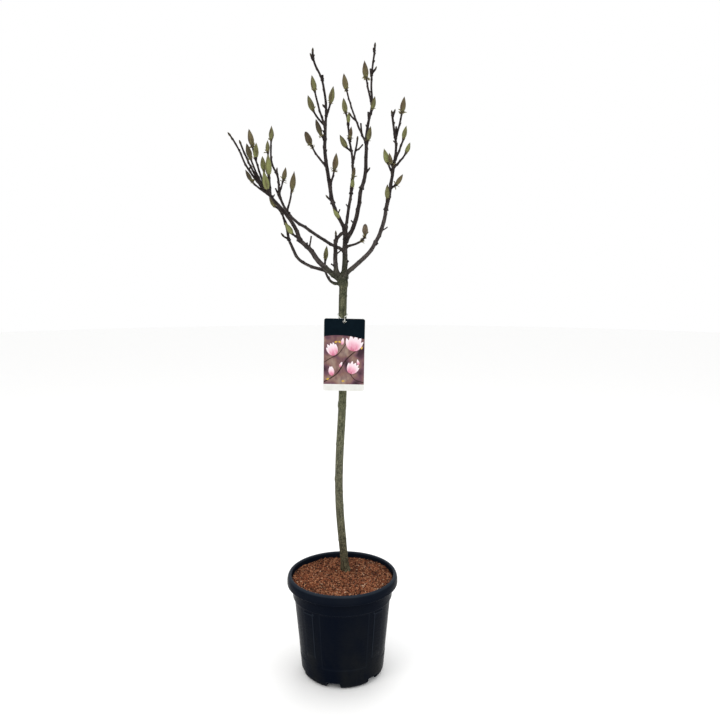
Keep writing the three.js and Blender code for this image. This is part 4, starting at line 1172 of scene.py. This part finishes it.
def spunPiece(name, outline, steps):
    # one corner is drawn out along the outline, then spun round and closed at both poles
    bpy.ops.mesh.primitive_plane_add(size=0.01)
    piece = bpy.context.object
    piece.name = name
    bpy.ops.object.mode_set(mode="EDIT")
    bpy.ops.mesh.select_all(action="SELECT")
    bpy.ops.mesh.merge(type="CENTER")
    places = [(across * mm, 0.0, up * mm) for across, up in outline]
    bpy.ops.transform.translate(value=places[0])
    for before, after in zip(places, places[1:]):
        step = tuple(b - a for a, b in zip(before, after))
        bpy.ops.mesh.extrude_region_move(TRANSFORM_OT_translate={"value": step})
    bpy.ops.mesh.select_all(action="SELECT")
    bpy.ops.mesh.spin(steps=steps, angle=2 * math.pi, center=(0, 0, 0), axis=(0, 0, 1))
    bpy.ops.mesh.select_all(action="SELECT")
    bpy.ops.mesh.remove_doubles(threshold=0.00002)
    for pole in (places[0], places[-1]):
        selectParts(piece, "VERT", lambda co: math.dist((math.hypot(co.x, co.y), 0, co.z), pole) < 0.2 * mm)
        bpy.ops.mesh.edge_face_add()
    bpy.ops.mesh.select_all(action="SELECT")
    bpy.ops.mesh.normals_make_consistent(inside=False)
    bpy.ops.object.mode_set(mode="OBJECT")
    return piece


def selectParts(piece, kind, wanted):
    # selects, in edit mode, the corners whose place passes the test, or the faces whose centre and normal do
    bpy.ops.mesh.select_mode(type=kind)
    bpy.ops.mesh.select_all(action="DESELECT")
    bpy.ops.object.mode_set(mode="OBJECT")
    for vertex in piece.data.vertices if kind == "VERT" else ():
        vertex.select = wanted(vertex.co)
    for face in piece.data.polygons if kind == "FACE" else ():
        face.select = wanted(face.center, face.normal)
    bpy.ops.object.mode_set(mode="EDIT")


def onWall(middles, half, low, high):
    # a test for the outer wall's faces that lie between two heights, near one of the middles
    def wanted(centre, normal):
        turn = math.degrees(math.atan2(centre.y, centre.x))
        outward = normal.x * centre.x + normal.y * centre.y > 0
        near = any(abs((turn - bearing + 180) % 360 - 180) < half for bearing in middles)
        return outward and near and low * mm < centre.z < high * mm

    return wanted


def cutAway(piece, cutter):
    bpy.context.view_layer.objects.active = piece
    change = piece.modifiers.new("cut", "BOOLEAN")
    change.operation = "DIFFERENCE"
    change.solver = "EXACT"
    change.object = cutter
    bpy.ops.object.modifier_apply(modifier=change.name)
    bpy.data.objects.remove(cutter)


def cylinder(sides, radius, depth, place):
    bpy.ops.mesh.primitive_cylinder_add(vertices=sides, radius=radius * mm, depth=depth * mm, location=place)
    return bpy.context.object


def roundedBox(size, place, turn, bevel):
    bpy.ops.mesh.primitive_cube_add(size=1, location=place, rotation=(0, 0, turn))
    box = bpy.context.object
    box.scale = size
    bpy.ops.object.transform_apply(location=False, rotation=False, scale=True)
    bpy.ops.object.mode_set(mode="EDIT")
    bpy.ops.mesh.select_all(action="SELECT")
    bpy.ops.mesh.bevel(offset=bevel, segments=3, affect="EDGES")
    bpy.ops.object.mode_set(mode="OBJECT")
    return box


plasticLook = dict(
    # the pale blue-grey after the dust is a painted highlight on the lip, also laid on the scuffed outer
    # edges
    dark=(0.0022, 0.0038, 0.0084), dust=(0.020, 0.020, 0.015), paintedHighlight=(0.022, 0.028, 0.038),
    polish=(0.24, 0.36), shine=0.013, smoothTo=28, paleEdgeFrom=60, wearAndHighlight=0.85,
    cloud=((9, 9, 5), 6, 0.6), scuffs=((60, 60, 260), 4), drips=((140, 140, 6), 3), dripShare=0.10,
    # the earth near the foot, and the painted highlight along the lip's band, shoulder and crest, by height
    # in metres
    nearFoot=((0.0, 1.0), (0.12, 0.3), (0.27, 0.12)),
    lipHighlight=((0.276, 0.0), (0.284, 0.10), (0.2985, 0.16), (0.3008, 1.0), (0.3028, 0.9)))


def plasticMaterial():
    p = plasticLook
    look = Look(newMaterial("nurseryPlastic", p["dark"], p["polish"][0], p["shine"]))
    place = look.objectPlace()
    cloud = look.noise(place, *p["cloud"])
    scuff = look.noise(place, *p["scuffs"])
    low = look.axis(place, "Z")
    nearFoot = look.ramp(low, *p["nearFoot"])
    earthy = look.times(look.ramp(cloud, (0.42, 0.0), (0.70, 0.7)), nearFoot)
    streaked = look.ramp(look.noise(place, *p["drips"]), (0.48, 0.0), (0.8, 0.30))
    earthy = look.math("MAXIMUM", earthy, look.times(streaked, p["dripShare"]))
    color = look.mix(earthy, p["dark"], p["dust"])
    # a painted highlight on the lip's shoulder and crest; every outer edge is paler, partly scuffed and
    # partly a painted highlight
    paintedHighlight = look.ramp(low, *p["lipHighlight"])
    highlightAndWear = look.times(look.math("MAXIMUM", paintedHighlight, look.attribute("edgeWearAndHighlight")),
                      look.ramp(cloud, (0.3, 0.55), (0.6, 1.0)))
    dull, bright = ((share,) * 3 for share in p["polish"])
    rough = look.mix(look.ramp(scuff, (0.35, 0.0), (0.75, 1.0)), dull, bright)
    grain = look.bump(look.noise(place, 1500, 2), 0.0002, 0.25)
    waves = look.bump(look.noise(place, 26, 2), 0.0012, 0.25, grain)
    return look.finish(look.mix(highlightAndWear, color, p["paintedHighlight"]), rough, waves)


def markEdges(piece, sharpest):
    # writes how sharply the faces round each corner meet outwards, from 0 to 1
    mesh = piece.data
    normals = {}
    for face in mesh.polygons:
        for key in face.edge_keys:
            normals.setdefault(key, []).append((face.normal, face.center))
    wearAndHighlight = np.zeros(len(mesh.vertices))
    for key, sides in normals.items():
        if len(sides) == 2:
            (firstNormal, firstCentre), (secondNormal, secondCentre) = sides
            outward = (secondCentre - firstCentre).dot(firstNormal) < 0
            bend = firstNormal.angle(secondNormal, 0) / sharpest if outward else 0
            for corner in key:
                wearAndHighlight[corner] = max(wearAndHighlight[corner], min(bend, 1) ** 2)
    # the paler outer edges are partly scuffing and partly a painted highlight along the rib edges
    layer = mesh.attributes.new("edgeWearAndHighlight", "FLOAT", "POINT")
    layer.data.foreach_set("value", (wearAndHighlight * plasticLook["wearAndHighlight"]).astype(np.float32))


def makePot():
    p = potPlan
    pot = spunPiece("nurseryPot", potOutline(), p["steps"])
    bpy.ops.object.mode_set(mode="EDIT")
    for part, depth in (("panel", -p["panelDepth"]), ("rib", p["ribProud"])):
        around = (p[part + key] for key in ("Bearings", "Half", "Low", "High"))
        selectParts(pot, "FACE", onWall(*around))
        bpy.ops.mesh.inset(thickness=p[part + "Rim"] * mm, depth=depth * mm)
    # the foot of each rib fades back into the wall
    wallHeight = p["sideTop"] - p["footRise"]
    slope = (p["sideHigh"] - p["sideLow"]) / wallHeight
    for row, share in enumerate(p["ribFade"]):
        low = p["ribLow"] + row * wallHeight / p["wallRows"]
        near = onWall(p["ribBearings"], p["ribHalf"], low - 1, low + 4.2)
        wide = p["sideLow"] + slope * (low - p["footRise"])
        proud = (wide + p["ribProud"] * 0.75) * mm
        selectParts(pot, "VERT", lambda co: near(co, co) and math.hypot(co.x, co.y) > proud)
        shrink = (wide + p["ribProud"] * share) / (wide + p["ribProud"])
        bpy.ops.transform.resize(value=(shrink, shrink, 1), center_override=(0, 0, 0))
    bpy.ops.object.mode_set(mode="OBJECT")
    outer = p["sideLow"] + p["notchFront"]
    for k in range(p["notchCount"]):
        turn = math.radians(p["notchFirst"] + 360 * k / p["notchCount"])
        reach = (p["notchBack"] + outer) / 2 * mm
        size = ((outer - p["notchBack"]) * mm, p["notchWidth"] * mm, p["notchHeight"] * 2 * mm)
        place = (math.cos(turn) * reach, math.sin(turn) * reach, 0)
        cutAway(pot, roundedBox(size, place, turn, p["notchRound"] * mm))
    for k in range(p["drainCount"]):
        turn, reach = 2 * math.pi * (k + 0.5) / p["drainCount"], p["drainAcross"] * mm
        place = (math.cos(turn) * reach, math.sin(turn) * reach, -1.5 * mm)
        cutAway(pot, cylinder(p["drainSides"], p["drainRadius"], p["drainDepth"], place))
    bpy.ops.object.select_all(action="DESELECT")
    pot.select_set(True)
    bpy.context.view_layer.objects.active = pot
    bpy.ops.object.shade_smooth_by_angle(angle=math.radians(plasticLook["smoothTo"]))
    markEdges(pot, math.radians(plasticLook["paleEdgeFrom"]))
    pot.data.materials.clear()
    pot.data.materials.append(plasticMaterial())
    settle(pot, "pot_plastic", "pot")


# hanging card

cardPlan = dict(width=118, height=210, thick=1.0, corner=6, top=1069, middle=9, back=-6.4, roll=1.1,
                holeRadius=3.5, holeBelow=9, holeSides=32, holeDepth=6, bandHeight=56, bandDip=7,
                bandWave=(2.4, 0.35, 1.6, 0.5), footHeight=19, ink=0.07, margin=0.4, edge=0.6,
                gloss=0.36, shine=0.03, white=((0.72, 0.72, 0.69), (0.66, 0.66, 0.62)),
                navy=((0.0014, 0.0052, 0.0090), (0.0022, 0.0070, 0.0115)),
                dusk=((0.035, 0.02, 0.02), (0.07, 0.04, 0.035)),
                yellow=((0.62, 0.40, 0.07), (0.5, 0.3, 0.06)))
# each blossom: middle across and down the card, size, lean in degrees, and how far it is open
blossoms = ((24, -92, 1.0, 14, 0.9), (-27, -106, 0.82, -22, 0.7), (18, -158, 0.78, 28, 0.8),
            (-34, -166, 0.6, -8, 0.45))
# a blossom's petals: bearing, length, width and curl
blossomPetals = ((-62, 40, 15, 0.5), (58, 40, 14, -0.5), (-30, 46, 17, 0.25), (30, 45, 17, -0.25),
                 (0, 44, 21, 0.05))
cardBuds = ((-6, -76, 0.5, 8), (43, -134, 0.42, -14), (-12, -141, 0.42, 24))
# bearing, length, width, curl and level of a bud's two petals, and the same of a glint but for its bearing
budPetals = ((-5, 40, 17, 0.15, 3), (6, 36, 12, -0.1, 4))
glintForm = (9, 5, 0.2, 2)
cardGlints = ((-28, -69, 70), (-17, -66, 110), (49, -88, 20), (-50, -178, 60), (-6, -182, 80), (38, -70, 95))
# a branch: its stops across and down the card, and its girth
branches = (((-59, -186), (-20, -160), (4, -122), (30, -96), (59, -72), 3.4),
            ((-59, -128), (-40, -116), (-18, -104), (-4, -86), (8, -66), 2.2),
            ((4, -122), (14, -140), (20, -162), (34, -178), (59, -186), 2.4))


def cardPlace(points):
    # from the card's own plane, x across, y up and z towards the viewer, to its place on the stem
    p = cardPlan
    roll = math.radians(p["roll"])
    x, y, z = points.T
    return np.stack([p["middle"] + x * math.cos(roll) + y * math.sin(roll), p["back"] - p["thick"] - z,
                     p["top"] - x * math.sin(roll) + y * math.cos(roll)], axis=-1)


def printed(upper, lower, level, **values):
    # a thin filled shape on the face of the card, between a top and a foot edge that run from left to right
    count, total = len(upper), 2 * len(upper)
    flat = np.concatenate([upper, lower])
    front = np.column_stack([flat, np.full(total, (level + 1) * cardPlan["ink"])])
    back = np.column_stack([flat, np.full(total, 0.0)])
    faces = [(0, total, total + count, count), (count - 1, total - 1, 2 * total - 1, total + count - 1)]
    for a in range(count - 1):
        b, c, d = a + 1, count + a + 1, count + a
        faces += [(a, d, c, b), (total + a, total + b, total + c, total + d), (a, b, total + b, total + a),
                  (d, total + d, total + c, c)]
    part = dict(points=cardPlace(np.concatenate([front, back])), quads=np.array(faces))
    for key, value in values.items():
        part[key] = np.concatenate([value, value])
    return part


# a petal's steps, how full its middle is, how much of the curve it takes up and its least half width
petalForm = dict(steps=12, full=0.85, low=0.8, span=0.96, start=0.03, least=0.15)


def petal(foot, lean, length, width, curl, level):
    # a spoon-shaped petal: fromFoot grows from its foot to its tip
    p = petalForm
    steps = p["steps"]
    t = np.linspace(0, 1, steps + 1)
    rise = np.sin(math.pi * np.clip(t * p["span"] + p["start"], 0, 1) ** p["low"]) ** p["full"]
    half = width / 2 * rise + p["least"]
    turn = math.radians(lean) + curl * t
    way = np.stack([np.sin(turn), np.cos(turn)], axis=-1)
    line = np.array(foot) + np.concatenate([[(0, 0)], np.cumsum(way[1:] * length / steps, axis=0)])
    out = np.stack([np.cos(turn), -np.sin(turn)], axis=-1) * half[:, None]
    return printed(line - out, line + out, level, fromFoot=np.concatenate([t, t]))


def clipToPicture(points):
    # keeps the printed shapes inside the picture
    p = cardPlan
    half = p["width"] / 2 - p["edge"]
    return np.clip(points, (-half, -p["height"] + p["footHeight"]), (half, -p["bandHeight"] + p["bandDip"]))


def sheetMaterial(name, color, shade):
    look = Look(newMaterial(name, color, 0.38, cardPlan["shine"]))
    place = look.objectPlace()
    cast = look.ramp(look.noise(place, 60, 3), (0.4, 0.0), (0.7, 1.0))
    return look.finish(look.mix(cast, color, shade), None, look.bump(look.noise(place, 900, 2), 0.0001, 0.3))


def pictureMaterial():
    # a soft, out of focus garden behind the blossoms
    look = Look(newMaterial("cardGarden", (0.2, 0.12, 0.1), cardPlan["gloss"], cardPlan["shine"]))
    place = look.objectPlace()
    broad = look.noise(place, (26, 26, 30), 1.5)
    color = look.ramp(broad, (0.28, (0.045, 0.025, 0.032)), (0.42, (0.15, 0.075, 0.095)),
                      (0.52, (0.22, 0.125, 0.105)), (0.62, (0.28, 0.19, 0.155)), (0.75, (0.34, 0.27, 0.22)))
    small = look.ramp(look.noise(place, (90, 90, 60), 2), (0.45, 0.0), (0.75, 0.6))
    return look.finish(look.mix(small, color, (0.095, 0.042, 0.060)))


def petalMaterial():
    look = Look(newMaterial("cardPetal", (0.8, 0.6, 0.65), cardPlan["gloss"], cardPlan["shine"]))
    color = look.ramp(look.attribute("fromFoot"), (0.0, (0.48, 0.09, 0.17)), (0.28, (0.68, 0.25, 0.36)),
                      (0.62, (0.82, 0.60, 0.66)), (1.0, (0.88, 0.82, 0.83)))
    veins = look.ramp(look.noise(look.objectPlace(), (420, 420, 90), 3), (0.45, 0.0), (0.75, 0.5))
    return look.finish(look.mix(veins, color, (0.86, 0.76, 0.79)))


def makeCardSheet():
    p = cardPlan
    bpy.ops.mesh.primitive_plane_add(size=1)
    card = bpy.context.object
    card.name = "cardSheet"
    card.scale = (p["width"] * mm, p["height"] * mm, 1)
    bpy.ops.object.transform_apply(location=False, rotation=False, scale=True)
    bpy.ops.object.mode_set(mode="EDIT")
    bpy.ops.mesh.select_all(action="SELECT")
    bpy.ops.mesh.bevel(offset=p["corner"] * mm, segments=8, affect="VERTICES")
    bpy.ops.mesh.select_all(action="SELECT")
    bpy.ops.mesh.extrude_region_move(TRANSFORM_OT_translate={"value": (0, 0, p["thick"] * mm)})
    bpy.ops.mesh.select_all(action="SELECT")
    bpy.ops.mesh.normals_make_consistent(inside=False)
    bpy.ops.object.mode_set(mode="OBJECT")
    hole = (0, (p["height"] / 2 - p["holeBelow"]) * mm, 0)
    cutAway(card, cylinder(p["holeSides"], p["holeRadius"], p["holeDepth"], hole))
    points = np.array([tuple(v.co) for v in card.data.vertices]) / mm - (0, p["height"] / 2, p["thick"])
    for vertex, place in zip(card.data.vertices, cardPlace(points) * mm):
        vertex.co = place
    card.data.materials.clear()
    card.data.materials.append(sheetMaterial("cardWhite", *p["white"]))
    settle(card, "printed_card", "label_card")


def makeCardPrint():
    # a dark band over a picture of blossoms on their branches
    p = cardPlan

    def addPrint(name, parts, material):
        addPiece(name, parts, material, "printed_card", smooth=False)

    def between(top, foot, level):
        return printed(stacked(across, top), stacked(across, foot), level)

    half = p["width"] / 2
    across = np.linspace(-half + p["margin"], half - p["margin"], 41)
    edge = np.clip((half - np.abs(across)) / p["corner"], 0, 1)
    topEdge = -p["margin"] - p["corner"] * (1 - np.sqrt(1 - (1 - edge) ** 2))
    turns, start, size, low = p["bandWave"]
    bandFoot = -p["bandHeight"] + p["bandDip"] * (np.cos(across / p["width"] * turns + start) * size - low)
    holeGap = np.sqrt(np.clip((p["holeRadius"] + 0.5) ** 2 - across ** 2, 0, None))
    band = [between(topEdge, holeGap - p["holeBelow"], 6), between(-holeGap - p["holeBelow"], bandFoot, 6)]
    addPrint("cardBand", band, sheetMaterial("cardNavy", *p["navy"]))
    addPrint("cardPicture", [between(bandFoot + 1, -p["height"] + p["footHeight"], 0)], pictureMaterial())

    wood = []
    for *stops, girth in branches:
        line = smoothLine(np.array(stops, float), 24)
        way = unit(np.gradient(line, axis=0))
        side = np.stack([-way[:, 1], way[:, 0]], axis=-1) * girth / 2
        wood.append(printed(clipToPicture(line + side), clipToPicture(line - side), 1))
    addPrint("cardBranches", wood, sheetMaterial("cardTwig", *p["dusk"]))

    petals = []
    for x, y, size, lean, opened in blossoms:
        for level, (turn, long, wide, curl) in enumerate(blossomPetals):
            turn = lean + turn * opened
            petals.append(petal((x, y), turn, long * size, wide * size, curl, 2 + level * 0.6))
    for x, y, size, lean in cardBuds:
        for turn, long, wide, curl, level in budPetals:
            petals.append(petal((x, y), lean + turn, long * size, wide * size, curl, level))
    addPrint("cardPetals", petals, petalMaterial())
    glints = [petal((x, y), lean, *glintForm) for x, y, lean in cardGlints]
    addPrint("cardGlints", glints, sheetMaterial("cardYellow", *p["yellow"]))


# strap

strapPlan = dict(girth=1.7, rise=22, clear=2.6, width=2.6, thick=0.9, sides=12, steps=14, steepest=0.3,
                 # how it stands off the card in front and behind, and over the card's top edge
                 inFront=0.4, behind=0.72, overTop=2.8,
                 color=(0.62, 0.62, 0.58), shade=(0.48, 0.50, 0.42), roughness=0.3, shine=0.5)


def smoothLine(stops, steps, closed=False):
    # a curve through every stop
    stops = list(map(np.asarray, stops))
    before, after = stops[0] * 2 - stops[1], stops[-1] * 2 - stops[-2]
    ring = [stops[-1], *stops, *stops[:2]] if closed else [before, *stops, after]
    line = []
    for a, b, c, d in zip(ring, ring[1:], ring[2:], ring[3:]):
        for t in np.arange(steps) / steps:
            line.append(0.5 * (2 * b + (c - a) * t + (2 * a - 5 * b + 4 * c - d) * t ** 2
                               + (3 * b - a - 3 * c + d) * t ** 3))
    return np.array(line if closed else line + [stops[-1]])


def strapStops(trunk):
    # through the hole in the card, over its top edge and round behind the stem
    p, s = cardPlan, strapPlan
    eye = p["top"] - p["holeBelow"]
    at, front, behind = p["middle"], p["back"] - p["thick"] - s["girth"], p["back"] + s["girth"] * s["behind"]
    t = (eye + s["rise"] - trunkPlan["foot"][2]) / trunk["length"]
    x, y, z = pointAt(trunk, t)
    reach = girthAt(trunk, t)[0] / 2 + s["clear"]
    over = p["top"] + s["girth"] * s["overTop"]
    return ((at, front, eye + 1), (at, front - s["inFront"], eye + 6), (at, p["back"], over),
            (x + reach * 0.75, y - reach * 0.6, z - 4), (x + reach, y, z), (x, y + reach, z + 3),
            (x - reach, y, z), (x - reach * 0.55, y - reach * 0.85, z - 8), (at - 1, behind, eye + 1),
            (at, p["back"] - p["thick"] / 2, eye - 0.6))


def makeStrap(limbs):
    s = strapPlan
    path = smoothLine(strapStops(limbs["trunk"]), s["steps"], closed=True)
    tangents = unit(np.roll(path, -1, axis=0) - np.roll(path, 1, axis=0))
    up = np.array((0.0, 0.0, 1.0))
    flat = up - tangents * (tangents @ up)[:, None]
    flat = np.where(np.linalg.norm(flat, axis=1, keepdims=True) < s["steepest"], np.array((1.0, 0, 0)), flat)
    flat = unit(flat - tangents * np.sum(flat * tangents, axis=1)[:, None])
    for i in range(1, len(path)):
        if flat[i] @ flat[i - 1] < 0:
            flat[i] = -flat[i]
    thin = np.cross(tangents, flat)
    angle = bearings(s["sides"])
    ring = flat[:, None] * (np.cos(angle) * s["width"] / 2)[:, None]
    ring = ring + thin[:, None] * (np.sin(angle) * s["thick"] / 2)[:, None]
    points = (path[:, None] + ring).reshape(-1, 3)
    corner = np.arange(len(points)).reshape(len(path), s["sides"])
    onward = np.roll(corner, -1, axis=0)
    quads = np.stack([corner, np.roll(corner, -1, axis=1), np.roll(onward, -1, axis=1), onward], axis=-1)
    look = Look(newMaterial("strapPlastic", s["color"], s["roughness"], s["shine"]))
    cast = look.ramp(look.noise(look.objectPlace(), 300, 3), (0.4, 0.0), (0.7, 1.0))
    material = look.finish(look.mix(cast, s["color"], s["shade"]))
    strap = dict(points=points, quads=quads.reshape(-1, 4))
    addPiece("cardStrap", [strap], material, "card_strap", "label_loop")


# everything in turn

print("studio")
makeStudio()
limbs = {}
print("trunk and boughs")
addPiece("trunkBark", [growTrunk(limbs)], barkMaterial("stem"), "stem_bark", "trunk")
addPiece("boughBark", growBoughs(limbs), barkMaterial("wood"), "bough_bark", *boughPlans)
print("twigs")
twigs, buds, leafBuds = growTwigs(limbs)
makeTwigs(twigs)
print("buds")
makeBuds(buds)
makeSmallBuds(twigs, [limbs[name] for name in boughPlans], leafBuds)
print("compost")
makeCompost()
print("container")
makePot()
print("card and strap")
makeCardSheet()
makeCardPrint()
makeStrap(limbs)
